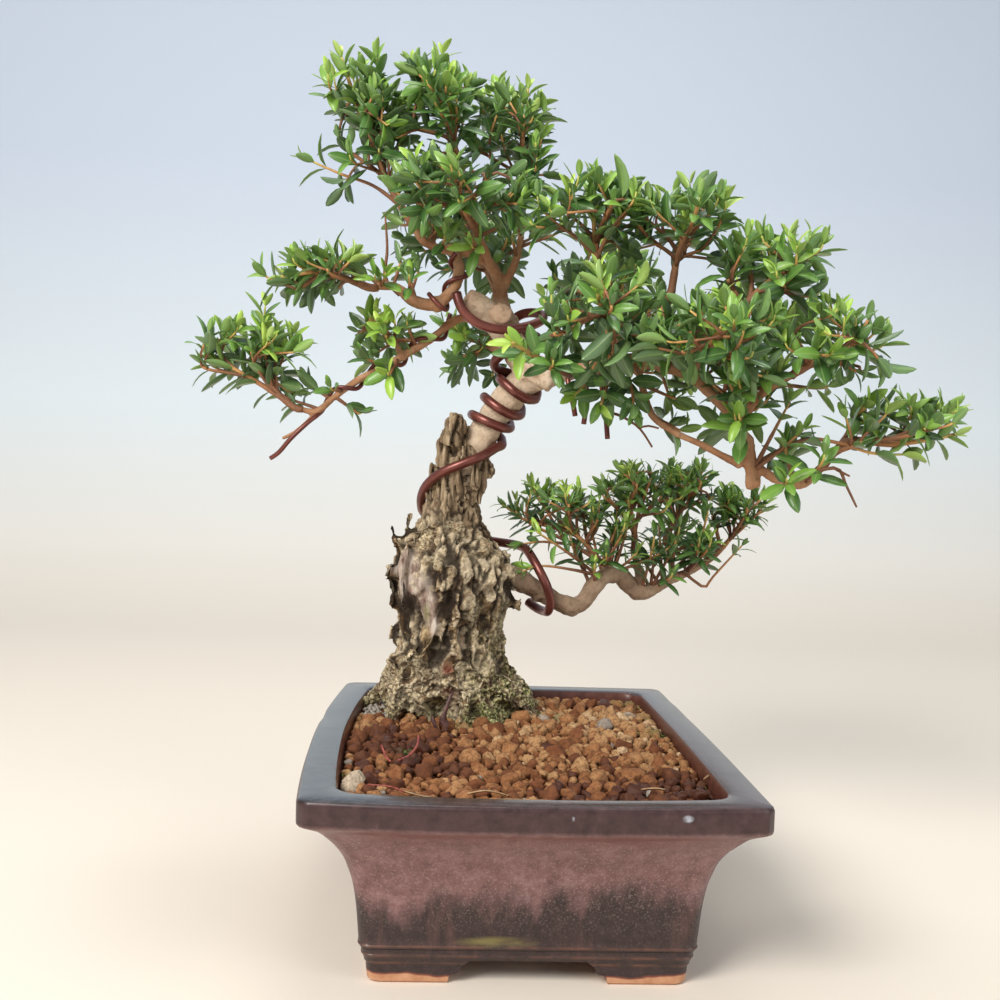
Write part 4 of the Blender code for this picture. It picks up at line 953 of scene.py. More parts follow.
# Hollows cut into it: middle, radius by axis, depth.
HOLLOWS = [
    ((-36, 37, 72.5), (11, 10, 7.5), 9.0), ((-20, 36, 74), (7, 8, 5), 6.0),
    ((-23, 36, 108), (5.0, 8, 8.5), 5.0),
    ((-56, 46, 129), (3.6, 6, 4.6), 3.2), ((-46, 41, 113), (2.6, 7, 12), 3.4),
    ((-31, 38, 125), (2.2, 6, 7), 3.0),
    ((-12, 42, 127), (5.5, 6, 6), 2.8), ((-57, 52, 142), (4, 7, 7), 2.6),
    ((-24, 49, 186), (2.2, 6, 12), 3.0),
    ((-33, 50, 182), (1.8, 6, 12), 2.8), ((-47, 48, 158), (4, 7, 8), 2.6),
    ((-6, 46, 90), (3, 8, 10), 3.0),
    ((-40, 90, 96), (9, 9, 12), 6.0), ((-8, 88, 100), (7, 8, 10), 5.0), ((-25, 88, 150), (8, 8, 8), 4.0),
]


# Where the bark is gone and smooth greyish-pink wood shows: middle, radius by axis.
SMOOTH_WOOD = [((-53, 43, 141), (11, 11, 11)), ((-49, 40, 131), (11, 12, 11)),
               ((-43, 38, 120), (9, 10, 12)),
               ((-38.5, 38, 112), (5.5, 8, 8))]


def make_wood():
    """The old trunk's skin and the live limbs' skin, each joined from its own forms."""
    levels = np.arange(TRUNK_SECTIONS[0][0], TRUNK_SECTIONS[-1][0] + 0.1, TRUNK_STEP)
    parts = [lofted("trunk_form", [trunk_outline(z, 120) for z in levels])]
    for k, (centre, size) in enumerate(KNOBS):
        parts.append(lump(centre, size, 0.35, k * 3.7))
    for k, (centre, size) in enumerate(CRUSTS):
        parts.append(lump(centre, size, 0.4, k * 5.1))
    for k, rows in enumerate(SHARDS):
        parts.append(tube_mesh("shard", smooth_route(rows, WOOD_STEP), 12, 0.3, 0.45, k * 3.3))
    old = remeshed("old_trunk", parts, OLD_WOOD_VOXEL)
    shape_old_trunk(old)

    parts = []
    for name, route in LIMBS.items():
        fine = smooth_route(route, WOOD_STEP)
        fine[:, 3] *= 0.82 + 0.18 * ramped(fine[:, 3], 3.0, 5.5)
        fine[:, 3] *= 1 + 0.1 * noise_at(fine[:, :3], 7.0, len(name)) + 0.05 * noise_at(fine[:, :3], 3.0,
                                                                                         4.0)
        parts.append(tube_mesh(name, fine, 20 if route[0][3] > 5 else 14, 0.35, 0.14, len(name) * 1.9))
    for k, (centre, size) in enumerate(LIMB_KNOTS):
        parts.append(lump(centre, size, 0.3, k * 2.3))
    live = remeshed("live_wood", parts, LIVE_WOOD_VOXEL)
    shape_live_wood(live)
    return old, live


# Knots and swollen forks on the limbs.
LIMB_KNOTS = [
    ((8, 43, 231), (7.8, 7.6, 7.4)), ((11, 38, 226.5), (4.4, 4.4, 4.4)), ((-8, 51, 252), (6.8, 6.6, 6.6)),
    ((39, 28, 236), (5.0, 4.8, 4.8)), ((55, 17, 236), (4.6, 4.4, 4.2)), ((71, 8, 231), (4.0, 3.9, 4.0)),
    ((50, 19, 232), (2.9, 2.9, 2.9)), ((94, -4, 200), (3.8, 3.6, 4.4)), ((-34, 47, 287), (2.9, 2.9, 2.9)),
    ((-20, 49, 284), (3.0, 3.0, 3.0)), ((65, 89, 125.5), (4.8, 4.6, 4.6)),
    ((51, 83, 134), (4.6, 4.6, 4.4)),
    ((29, 74, 118.5), (5.0, 4.9, 4.8)), ((84, 95, 133), (3.0, 3.0, 3.0)),
    ((97, -6, 183.5), (3.6, 3.4, 3.8)),
    ((-56, 44, 236), (2.3, 2.3, 2.3)), ((-41, 39, 260), (3.8, 3.6, 3.6)),
    ((14, 71, 125), (5.0, 4.9, 4.7)),
]


def shape_old_trunk(mesh):
    """Grooves in the dead neck, plates and cracks on the body, lichen crust below, and what colours them,
    with painted shade in the cracks and hollows.
    """
    points, normals = points_of(mesh)
    z = points[:, 2]
    for centre, radius, depth in HOLLOWS:
        points = points - normals * (near_spot(points, centre, radius) * depth)[:, None]
    neck = ramped(z, 156, 168)
    crust = 1 - ramped(z, 84, 100)
    right_side = ramped(points[:, 0], -20, -6) * (1 - ramped(z, 108, 124))
    crust = np.maximum(crust, right_side * 0.8)
    smooth = np.zeros(len(points))
    for centre, radius in SMOOTH_WOOD:
        smooth = np.maximum(smooth, near_spot(points, centre, radius))
    body = 1 - np.maximum(neck, crust)

    strands = noise_at(points, (2.4, 2.4, 34.0), 1.0)
    fibres = noise_at(points, (1.0, 1.0, 12.0), 5.0)
    groove = 1 - ramped(np.abs(strands), 0.0, 0.2)
    broad = noise_at(points, 11.0, 4.0)
    middle = noise_at(points, 4.2, 7.0)
    small = noise_at(points, 1.8, 3.0)
    grit = noise_at(points, 0.9, 6.0)
    # Old bark: tall plates of uneven height between seams that come and go, torn by upright fissures.
    bent = points + np.stack((3.0 * broad + 1.3 * middle, 3.0 * noise_at(points, 8.0, 9.0), 5.0 * middle),
                             axis=1)
    first, second, plate = cells_at(bent, (8.0, 8.0, 13.0), 2.0)
    seam = (1 - ramped(second - first, 0.04, 0.26)) * ramped(noise_at(points, 9.0, 31.0), -0.5, 0.1)
    first, second, flake = cells_at(bent + 1.2 * small[:, None], (4.2, 4.2, 5.6), 5.0)
    fine_seam = (1 - ramped(second - first, 0.03, 0.2)) * ramped(noise_at(points, 7.0, 41.0), -0.25, 0.25)
    fissure = 1 - ramped(np.abs(noise_at(bent, (6.5, 6.5, 34.0), 2.0)), 0.03, 0.22)
    small_first, small_second, small_tone = cells_at(points + 0.8 * small[:, None], 2.5, 9.0)
    chunk = 1 - ramped(small_second - small_first, 0.02, 0.22)

    rise = neck * (-2.4 * groove + 1.0 * strands + 0.6 * fibres + 0.2 * grit)
    plates = 1.5 * (plate - 0.5) + 1.0 * (flake - 0.5) + 0.8 * middle + 0.45 * small + 0.25 * grit
    rise += body * (plates - 1.5 * seam - 0.7 * fine_seam - 1.6 * fissure)
    rise += crust * (-0.9 * chunk + 1.5 * (small_tone - 0.5) + 0.9 * middle + 0.4 * small)
    rise += (1.2 * broad - 0.9) * (1 - neck)
    knob = np.zeros(len(points))
    ring = np.zeros(len(points))
    for centre, size in KNOBS[:10]:
        near = near_spot(points, centre, [s * 1.5 for s in size])
        knob = np.maximum(knob, near)
        ring = np.maximum(ring, near_spot(points, centre, [s * 2.1 for s in size]) - near)
    rise *= (1 - 0.92 * smooth) * (1 - 0.75 * knob)
    rise += (smooth * (0.45 * strands + 0.2 * fibres + 0.4 * broad - 0.5)
             + knob * (0.35 * small + 0.25 * grit + 0.5))
    rise = np.clip(rise, -2.6, 1.2)
    points = points + normals * rise[:, None]
    points[:, 2] = np.maximum(points[:, 2], 52.0)
    set_points(mesh, points)

    damp = np.maximum(1 - ramped(z, 74, 132), 0.0)
    moss = damp * ramped(points[:, 0] + 10 * broad, -34, 0) + 0.5 * (1 - ramped(z, 66, 84))
    moss *= ramped(middle + 0.5 * broad + 0.35, 0.0, 0.5)
    moss = np.maximum(moss, near_spot(points, (-2, 47, 112), (10, 14, 14)) * 0.6)
    lichen = crust * ramped(small_tone + 0.4 * middle, 0.35, 0.75)
    scabs = ramped(noise_at(points, 5.5, 21.0) + 0.5 * small, 0.12, 0.3) * ramped(z, 118, 140)
    lichen = np.maximum(lichen, body * scabs * 0.7)
    lichen = np.maximum(lichen, near_spot(points, (-52, 46, 88), (14, 14, 22)) * ramped(small_tone, 0.2,
                                                                                        0.6))
    lichen = np.maximum(lichen, knob)
    for centre, size in KNOBS[10:13]:
        lichen = np.maximum(lichen, near_spot(points, centre, [s * 1.45 for s in size]) * 0.95)
    # Painted shade: dark marks the fissures, seams and fine seams, the neck's grooves, the gaps between
    # crust chunks, the rings round the knobs and the hollows, which make_bark paints near-black.
    pits = np.clip(0.9 * fissure + 0.8 * seam + 0.5 * fine_seam, 0, 1)
    dark = np.clip(body * pits * 0.92 * (1 - knob) + neck * groove + crust * chunk * 0.9 - smooth, 0, 1)
    dark = np.maximum(dark, body * np.clip(ring, 0, 1) * 0.75 * (1 - smooth))
    for centre, radius, depth in HOLLOWS:
        dark = np.maximum(dark, near_spot(points, centre, radius) * min(1.0, depth / 7.0) * 0.85)
    relief = np.clip(0.5 + (plates - 1.5 * seam - 1.6 * fissure) / 3.0, 0, 1)
    off_body = np.clip(0.55 + 0.3 * middle + 0.25 * (small_tone - 0.5), 0, 1)
    write(mesh, "relief", relief * body + (1 - body) * off_body)
    write(mesh, "plate", 0.65 * plate + 0.35 * flake)
    write(mesh, "moss", np.clip(moss, 0, 1))
    write(mesh, "lichen", np.clip(lichen, 0, 1))
    write(mesh, "smooth", smooth)
    write(mesh, "dark", dark)
    write(mesh, "neck", neck)
    mesh.shade_smooth()


def shape_live_wood(mesh):
    """Fine bark on the limbs, and how thick the limb is at each point."""
    spine = []
    for route in LIMBS.values():
        spine += smooth_route(route, 1.5).tolist()
    tree = kdtree.KDTree(len(spine))
    for k, row in enumerate(spine):
        tree.insert(row[:3], k)
    tree.balance()
    points, normals = points_of(mesh)
    girth = np.array([spine[tree.find(point)[1]][3] for point in points])
    coarse = noise_at(points, 6.0, 2.0)
    fine = noise_at(points, 1.9, 6.0)
    flake = 1 - ramped(np.abs(noise_at(points, 3.4, 9.0)), 0.0, 0.06)
    low_branch = (points[:, 2] < 160) * 1.0
    rise = girth * 0.07 * coarse + (0.1 + 0.02 * girth) * fine - (0.14 + 0.25 * low_branch) * flake
    points = points + normals * rise[:, None]
    set_points(mesh, points)
    write(mesh, "girth", girth)
    write(mesh, "flake", np.clip(flake, 0, 1))
    write(mesh, "low_branch", low_branch)
    mesh.shade_smooth()


def make_bark():
    """Old wood: grey-tan fibres above, scaly grey-brown plates, cream and green crust below."""
    look = Look("old_bark", Roughness=0.9, Specular_IOR_Level=0.25)
    fibre = look.noise(2.2, 6.0, 0.65, look.stretched((1.0, 1.0, 0.09)))
    patch = look.noise(13.0, 5.0, 0.6)
    grain = look.noise(2.4, 8.0, 0.7)
    fine = look.noise(0.7, 4.0, 0.7)
    # Each plate has its own tone, from dark brown over grey-tan to cream, and its low places get painted
    # shade.
    tone = look.calc("ADD", look.calc("MULTIPLY", look.attribute("plate"), 0.55),
                     look.calc("MULTIPLY", patch, 0.55))
    tone = look.calc("ADD", tone, look.calc("MULTIPLY", look.calc("SUBTRACT", grain, 0.5), 0.8))
    plates = look.ramp(tone, [(0.3, (0.04, 0.023, 0.013)), (0.43, (0.165, 0.097, 0.05)),
                              (0.54, (0.36, 0.25, 0.145)), (0.68, (0.72, 0.59, 0.4))])
    ochre = look.ramp(grain, [(0.3, (0.1, 0.048, 0.016)), (0.7, (0.46, 0.265, 0.1))])
    ochre_part = look.ramp(look.noise(8.0, 5.0, 0.6), [(0.54, 0.0), (0.64, 0.75)])
    plates = look.mix(ochre_part, plates, ochre)
    # Painted shade: the low places of the relief are darkened towards near-black.
    low = look.ramp(look.attribute("relief"), [(0.12, 1.0), (0.5, 0.0)])
    plates = look.mix(low, plates, look.mix(0.75, plates, (0.016, 0.01, 0.006)))
    high = look.ramp(look.attribute("relief"), [(0.58, 0.0), (0.92, 0.6)])
    plates = look.mix(high, plates, look.ramp(grain,
                                              [(0.3, (0.25, 0.18, 0.105)),
                                               (0.65, (0.74, 0.63, 0.45))]))
    pores = look.ramp(look.noise(1.6, 6.0, 0.75), [(0.36, 0.75), (0.48, 0.0)])
    plates = look.mix(pores, plates, (0.045, 0.027, 0.015))
    dead = look.ramp(fibre, [(0.28, (0.05, 0.032, 0.019)), (0.46, (0.23, 0.16, 0.096)),
                             (0.66, (0.5, 0.385, 0.25))])
    colour = look.mix(look.attribute("neck"), plates, dead)
    pink = look.ramp(look.noise(3.5, 6.0, 0.6, look.stretched((1.0, 1.0, 0.25))),
                     [(0.36, (0.12, 0.068, 0.046)), (0.47, (0.33, 0.24, 0.195)),
                      (0.6, (0.62, 0.53, 0.445))])
    colour = look.mix(look.attribute("smooth"), colour, pink)
    speckle = look.noise(1.3, 5.0, 0.75)
    cream = look.ramp(speckle, [(0.39, (0.07, 0.046, 0.022)), (0.47, (0.4, 0.295, 0.155)),
                                (0.55, (0.88, 0.75, 0.51))])
    lichen = look.calc("MULTIPLY", look.attribute("lichen"),
                       look.ramp(look.noise(4.0, 5.0, 0.6), [(0.36, 0.1), (0.55, 1.0)]))
    colour = look.mix(lichen, colour, cream)
    green = look.ramp(speckle, [(0.38, (0.01, 0.016, 0.005)), (0.47, (0.085, 0.095, 0.022)),
                                (0.56, (0.56, 0.52, 0.24))])
    moss = look.calc("MULTIPLY", look.attribute("moss"),
                     look.ramp(look.noise(3.2, 6.0, 0.65), [(0.34, 0.15), (0.5, 1.0)]))
    colour = look.mix(moss, colour, green)
    ochre_plate = look.ramp(grain, [(0.35, (0.21, 0.125, 0.055)), (0.6, (0.56, 0.39, 0.2))])
    colour = look.mix(look.calc("MULTIPLY", look.spot((-41.5, 39.0, 104.0), (4.5, 8.0, 11.0)), 0.85),
                      colour, ochre_plate)
    colour = look.mix(look.calc("MULTIPLY", look.spot((-41.5, 38.0, 116.0), (2.4, 7.0, 8.0)), 0.8),
                      colour, (0.23, 0.25, 0.07))
    # The two cut roots low on the front and the torn spike above them, reddish brown.
    for centre, size in (((-31.0, 37.0, 92.5), (4.4, 7.0, 4.6)), ((-29.6, 37.0, 81.5), (5.6, 7.0, 3.2)),
                         ((-24.0, 39.0, 107.0), (2.6, 7.0, 7.5)),
                         ((-50.0, 41.0, 127.0), (2.2, 6.0, 5.0))):
        red = look.ramp(look.noise(2.0, 4.0), [(0.35, (0.1, 0.024, 0.012)),
                                               (0.65, (0.26, 0.085, 0.05))])
        colour = look.mix(look.spot(centre, size), colour, red)
    # Painted shade: near-black where the dark attribute marks the fissures, grooves, crust gaps, knob rings
    # and hollows.
    colour = look.mix(look.calc("MULTIPLY", look.attribute("dark"), 0.86), colour, (0.016, 0.01, 0.007))
    return look.finish(colour, look.ramp(grain, [(0.3, 0.8), (0.7, 0.95)]),
                       [(grain, 0.9, 0.7), (fine, 0.25, 0.6)])


def make_limb_bark():
    """Live wood: smooth and pale tan where thick, orange-brown where thin, greyer on the low branch."""
    look = Look("limb_bark", Roughness=0.72, Specular_IOR_Level=0.3)
    girth = look.calc("MULTIPLY", look.attribute("girth"), 0.1)
    patch = look.noise(9.0, 5.0, 0.6)
    smudge = look.noise(4.5, 6.0, 0.65)
    grain = look.noise(1.3, 6.0, 0.7)
    pale = look.ramp(patch, [(0.25, (0.43, 0.3, 0.2)), (0.5, (0.56, 0.43, 0.31)),
                             (0.75, (0.68, 0.57, 0.44))])
    tan = look.ramp(patch, [(0.25, (0.25, 0.11, 0.052)), (0.5, (0.4, 0.205, 0.105)),
                            (0.75, (0.52, 0.31, 0.18))])
    colour = look.mix(look.ramp(girth, [(0.33, 0.0), (0.62, 1.0)]), tan, pale)
    grey = look.ramp(patch, [(0.25, (0.15, 0.095, 0.062)), (0.5, (0.27, 0.185, 0.122)),
                             (0.75, (0.43, 0.32, 0.22))])
    colour = look.mix(look.calc("MULTIPLY", look.attribute("low_branch"), 0.8), colour, grey)
    brown = look.ramp(grain, [(0.3, (0.11, 0.052, 0.026)), (0.7, (0.27, 0.15, 0.08))])
    colour = look.mix(look.ramp(smudge, [(0.56, 0.0), (0.7, 0.75)]), colour, brown)
    colour = look.mix(look.ramp(grain, [(0.3, 0.55), (0.4, 0.0)]), colour, (0.14, 0.075, 0.042))
    colour = look.mix(look.calc("MULTIPLY", look.attribute("flake"), 0.35), colour, (0.12, 0.062, 0.034))
    return look.finish(colour, look.ramp(grain, [(0.3, 0.82), (0.7, 0.6)]),
                       [(grain, 0.22, 0.5), (smudge, 0.4, 0.3)])


# The soil.

def soil_height(x, y):
    """Height of the soil without its granules: a low mound towards the trunk."""
    away = math.hypot((x + 22) / 75, (y - 62) / 110)
    return SOIL_TOP + SOIL_DOME * math.exp(-away * away)


def wall_distance(x, y):
    """How far a point of the soil's top is from the pot's inner wall."""
    inset = 13.6
    half_x = POT_WIDTH / 2 - inset
    half_y = POT_DEPTH / 2 - inset
    flat_x = 1 - (y / half_y) ** 2
    flat_y = 1 - (x / half_x) ** 2
    rise = (SOIL_TOP - POT_FLOOR) / (POT_HEIGHT - POT_FLOOR)
    right, left, back, front = (bow * rise for bow in POT_BOWS)
    room_x = half_x + flat_x * (right if x > 0 else left) - abs(x)
    room_y = half_y + flat_y * (back if y > 0 else front) - abs(y)
    corner = POT_INNER_CORNER
    if room_x < corner and room_y < corner:
        return corner - math.hypot(corner - room_x, corner - room_y)
    return min(room_x, room_y)


def in_trunk(x, y, foot):
    """Whether a point is under the old trunk, whose outline is foot."""
    inside = False
    for (ax, ay, _), (bx, by, _) in zip(foot, foot[1:] + foot[:1]):
        if (ay > y) != (by > y) and x < (bx - ax) * (y - ay) / (by - ay) + ax:
            inside = not inside
    return inside


def stone_shapes(count, detail, draw):
    """A few lumpy, slightly angular stones of about unit size."""
    shapes = []
    for k in range(count):
        form = bmesh.new()
        bmesh.ops.create_icosphere(form, subdivisions=detail, radius=1.0)
        points = np.array([vertex.co for vertex in form.verts])
        faces = [tuple(vertex.index for vertex in face.verts) for face in form.faces]
        form.free()
        grow = 1 + 0.44 * noise_at(points, 0.9, k * 3.1) + 0.26 * noise_at(points, 0.38, k * 5.3)
        for _ in range(7):
            way = Vector([draw.gauss(0, 1) for _ in range(3)]).normalized()
            reach = points @ np.array(way)
            flat = draw.uniform(0.55, 0.85)
            grow = np.where(reach * grow > flat, flat / np.maximum(reach, 1e-6), grow)
        shapes.append((points * grow[:, None], faces))
    return shapes


def turned(draw):
    """A random turn as a 3 by 3 array."""
    axis = Vector([draw.gauss(0, 1) for _ in range(3)]).normalized()
    return np.array(Matrix.Rotation(draw.uniform(0, 2 * math.pi), 3, axis))


WET_SPOTS = [((60, -72), (30, 26)), ((30, -82), (26, 14)), ((-50, -8), (20, 26)), ((46, 84), (20, 14)),
             ((-40, -46), (16, 14))]
MOSS_SPOTS = [((61, 92), 11), ((64, 25), 9), ((75, -6), 7), ((-70, 45), 7), ((-47, -22), 5),
              ((24, 50), 6),
              ((66, 60), 6), ((-24, 30), 6), ((-70, -60), 4), ((72, -62), 6), ((-30, 118), 9),
              ((30, 112), 8)]
GRAVEL_SPOTS = [((-60, 57), (12, 15)), ((-64, 78), (9, 16))]


def share_of(spots, x, y):
    """How much a place belongs to some spots, 0 to 1."""
    best = 0.0
    for (sx, sy), size in spots:
        wide, deep = size if isinstance(size, tuple) else (size, size)
        best = max(best, math.exp(-((x - sx) / wide) ** 2 - ((y - sy) / deep) ** 2))
    return best


def make_soil(draw):
    """Fine crumbs with granules of 2 to 9 mm packed over them, moss, grey gravel and one pale pebble."""
    foot = trunk_outline(67.0, 60)
    step = 1.5
    columns = int(POT_WIDTH / step)
    rows = int(POT_DEPTH / step)
    points = []
    for row in range(rows + 1):
        for column in range(columns + 1):
            s = 2 * column / columns - 1
            t = 2 * row / rows - 1
            x = s * (POT_WIDTH / 2 - 14.2) + s * (1 - t * t) * (1.0 if s > 0 else 4.0)
            y = t * (POT_DEPTH / 2 - 14.2) + t * (1 - s * s) * (1.0 if t > 0 else 4.0)
            points.append((x, y, soil_height(x, y) - 1.6))
    points = np.array(points)
    points[:, 2] += 0.9 * noise_at(points, 3.2) + 0.7 * noise_at(points, 1.7)
    across = columns + 1
    faces = [(r * across + c, r * across + c + 1, (r + 1) * across + c + 1, (r + 1) * across + c)
             for r in range(rows) for c in range(columns)]
    border = [c for c in range(across)] + [r * across + columns for r in range(1, rows + 1)]
    border += [rows * across + c for c in range(columns - 1, -1,
                                                -1)] + [r * across for r in range(rows - 1, 0, -1)]
    start = len(points)
    lower = points[border].copy()
    lower[:, 2] = 56.0
    lower[:, :2] *= 0.93
    points = np.vstack((points, lower))
    count = len(border)
    for k in range(count):
        j = (k + 1) % count
        faces.append((border[k], start + k, start + j, border[j]))
    faces.append(tuple(start + k for k in reversed(range(count))))
    crumbs = new_mesh("crumbs", points, faces)
    put("soil_crumbs", crumbs, [make_crumb_look()], "soil", "soil")

    cell = 8.0
    grid = {}
    places = []
    sizes = [draw.uniform(3.4, 5.0) for _ in range(120)] + [draw.uniform(2.3, 3.4) for _ in range(440)]
    sizes += [draw.uniform(1.5, 2.3) for _ in range(1250)] + [draw.uniform(0.9, 1.5) for _ in range(1300)]
    for radius in sizes:
        for _ in range(14):
            x = draw.uniform(-74, 72)
            y = draw.uniform(-108, 104)
            if wall_distance(x, y) < radius * 0.92 or in_trunk(x, y, foot):
                continue
            if radius > 1.5 and share_of(GRAVEL_SPOTS, x, y) > 0.45:
                continue
            key = (int(x // cell), int(y // cell))
            close = [other for i in (-1, 0, 1) for j in (-1, 0, 1)
                     for other in grid.get((key[0] + i, key[1] + j), ())]
            if all(math.hypot(x - ox, y - oy) > 0.8 * (radius + other) for ox, oy, other in close):
                grid.setdefault(key, []).append((x, y, radius))
                sunk = 0.35 * radius - draw.uniform(0.0, 0.5)
                places.append((x, y, soil_height(x, y) - 0.6 - sunk + 0.55 * radius, radius))
                break
    stones = stone_shapes(16, 3, draw)
    pebbles = stone_shapes(16, 2, draw)
    large = []
    small = []
    for x, y, z, radius in places:
        big = radius > 3.0
        shape, faces = draw.choice(stones if big else pebbles)
        scale = np.array([draw.uniform(0.85, 1.2), draw.uniform(0.85, 1.15),
                          draw.uniform(0.7, 0.95)]) * radius
        made = (shape * scale) @ turned(draw).T + (x, y, z)
        wet = share_of(WET_SPOTS, x, y)
        pale = 0.5 + 0.5 * math.tanh((x * 0.5 + y * 0.7 - 20) / 60)
        tone = min(max(0.36 + 0.32 * pale - 0.38 * wet + draw.gauss(0, 0.15), 0.0), 1.0)
        grey = 0.9 if share_of(GRAVEL_SPOTS, x, y) > 0.35 and radius < 1.8 else 0.0
        if draw.random() < 0.012:
            grey = 0.7
        green = max(share_of(MOSS_SPOTS, x, y) - 0.35, 0.0) * 1.3
        (large if big else small).append((made, faces, (tone, grey, green)))
    pebble = (stones[3][0] * (6.4, 4.6, 4.0)) @ turned(draw).T + (-66.5, -77.5, 68.6)
    large.append((pebble, stones[3][1], (1.0, 0.45, 0.0)))
    look = make_granule_look()
    for name, group in (("large_granules", large), ("small_granules", small)):
        points, faces, owner = stack([(made, faces) for made, faces, _ in group])
        mesh = new_mesh(name, points, faces)
        write(mesh, "kind", np.array([kind for _, _, kind in group])[owner])
        put(name, mesh, [look], "soil", "soil")
    make_moss(draw, foot)
    make_litter()


def make_moss(draw, foot):
    """Cushions of moss on the soil: many small tufts close together."""
    tuft, faces = stone_shapes(1, 2, draw)[0]
    group = []
    for (sx, sy), size in MOSS_SPOTS:
        for _ in range(int(size * size * 1.1)):
            away = size * 0.85 * math.sqrt(draw.random())
            angle = draw.uniform(0, 2 * math.pi)
            x = sx + away * math.cos(angle)
            y = sy + away * math.sin(angle)
            radius = draw.uniform(0.45, 1.0)
            if wall_distance(x, y) < radius or in_trunk(x, y,
                                                        foot) or noise.noise(Vector((x, y,
                                                                                     0)) / 5) < -0.12:
                continue
            z = soil_height(x, y) + draw.uniform(-0.2, 1.7) * (1 - away / size)
            group.append(((tuft * radius * (1, 1, 0.8)) @ turned(draw).T + (x, y, z), faces))
    points, faces, owner = stack(group)
    mesh = new_mesh("moss", points, faces)
    write(mesh, "tone", np.array([draw.random() for _ in group])[owner])
    look = Look("moss", Roughness=0.95, Specular_IOR_Level=0.2)
    grain = look.noise(0.7, 4.0, 0.7)
    old = look.ramp(grain, [(0.3, (0.01, 0.018, 0.006)), (0.7, (0.07, 0.1, 0.028))])
    fresh = look.ramp(grain, [(0.3, (0.06, 0.09, 0.016)), (0.7, (0.33, 0.36, 0.11))])
    colour = look.mix(look.ramp(look.attribute("tone"), [(0.4, 0.0), (0.9, 1.0)]), old, fresh)
    put("moss", mesh, [look.finish(colour, None, [(grain, 0.3, 0.8)])], "soil", "soil")


def ribbon(rows, thick=0.25):
    """A thin curved strip through (x, y, z, width) rows, with a little thickness."""
    rows = smooth_route(rows, 1.2)
    along = np.gradient(rows[:, :3], axis=0)
    side = np.cross(along, (0.0, 0.25, 1.0))
    side /= np.linalg.norm(side, axis=1)[:, None]
    up = np.cross(side, along)
    up /= np.linalg.norm(up, axis=1)[:, None]
    half = side * (rows[:, 3] / 2)[:, None]
    left = rows[:, :3] + half + up * 0.5
    right = rows[:, :3] - half + up * 0.5
    points = np.vstack((left, rows[:, :3], right, rows[:, :3] - up * thick))
    n = len(rows)
    faces = []
    for k in range(n - 1):
        for a, b in ((0, 1), (1, 2), (2, 3), (3, 0)):
            faces.append((a * n + k, b * n + k, b * n + k + 1, a * n + k + 1))
    faces.append((0, 3 * n, 2 * n, n))
    faces.append((n - 1, 2 * n - 1, 3 * n - 1, 4 * n - 1))
    return points, faces


def make_litter():
    """The dry leaf along the front, the shed leaf by the trunk and red stems."""
    dry = [ribbon([(-47, -92, 69.5, 0.6), (-36, -99, 69.2, 3.2), (-20, -101.5, 69.3, 2.2),
                   (-8, -101, 69.6, 3.0),
                   (10, -101, 69.2, 0.8)]),
           ribbon([(-24, -96, 70, 0.5), (-17, -96, 71.2, 3.0), (-9, -98, 70, 0.6)]),
           ribbon([(40, -84, 69.5, 0.4), (44, -85, 70.3, 1.2), (49, -83, 69.4, 0.4)]),
           ribbon([(67, -66, 69.3, 0.4), (72, -60, 70.3, 1.6), (74, -52, 69.6, 0.4)])]
    points, faces, _ = stack(dry)
    look = Look("dry_leaf", Roughness=0.7)
    tone = look.noise(3.0, 5.0)
    look = look.finish(look.ramp(tone, [(0.3, (0.3, 0.15, 0.06)), (0.7, (0.64, 0.45, 0.26))]),
                       None,
                       [(look.noise(1.0, 3.0), 0.2, 0.4)])
    put("dry_leaf", new_mesh("dry_leaf", points, faces), [look], "leaf", "soil")

    shed = [ribbon([(-31, 14, 67, 1.0), (-32, 15, 73, 6.0), (-30, 16, 80, 5.2), (-28.5, 17, 86, 0.6)],
                   0.4),
            ribbon([(-33, 12, 68, 0.6), (-36.5, 11, 72, 3.0), (-37, 11, 76, 0.5)], 0.4)]
    points, faces, _ = stack(shed)
    look = Look("shed_leaf", Roughness=0.55)
    tone = look.noise(2.5, 5.0)
    look = look.finish(look.ramp(tone, [(0.3, (0.05, 0.018, 0.016)), (0.7, (0.19, 0.085, 0.07))]),
                       None,
                       [(tone, 0.2, 0.4)])
    put("shed_leaf", new_mesh("shed_leaf", points, faces), [look], "leaf", "soil")

    stems = [tube(smooth_route(rows, 1.0), 6, 0.3) for rows in (
        [(-57, -40, 74, 0.5), (-55, -44, 70.5, 0.5), (-53, -48, 69.6, 0.45)],
        [(-50, -46, 69.6, 0.5), (-46, -40, 70.2, 0.5), (-43, -34, 72.8, 0.5), (-42.5, -30, 76, 0.4)],
        [(-60, -84, 69.6, 0.3), (-52, -88, 70.2, 0.3), (-46, -93, 69.6, 0.3)],
        [(-75, -60, 70, 0.3), (-73, -68, 71.4, 0.3), (-74, -76, 69.6, 0.3)])]
    points, faces, _ = stack(stems)
    look = Look("red_stem", Roughness=0.45)
    tone = look.noise(2.0, 3.0)
    look = look.finish(look.ramp(tone, [(0.3, (0.16, 0.02, 0.016)), (0.7, (0.46, 0.12, 0.09))]))
    put("red_stems", new_mesh("red_stems", points, faces), [look], "leaf", "soil")


def make_crumb_look():
    look = Look("soil_crumbs", Roughness=0.95, Specular_IOR_Level=0.2)
    grain = look.noise(1.6, 6.0, 0.7)
    colour = look.ramp(grain, [(0.3, (0.045, 0.014, 0.006)), (0.7, (0.24, 0.09, 0.032))])
    return look.finish(colour, None, [(grain, 0.8, 0.8)])


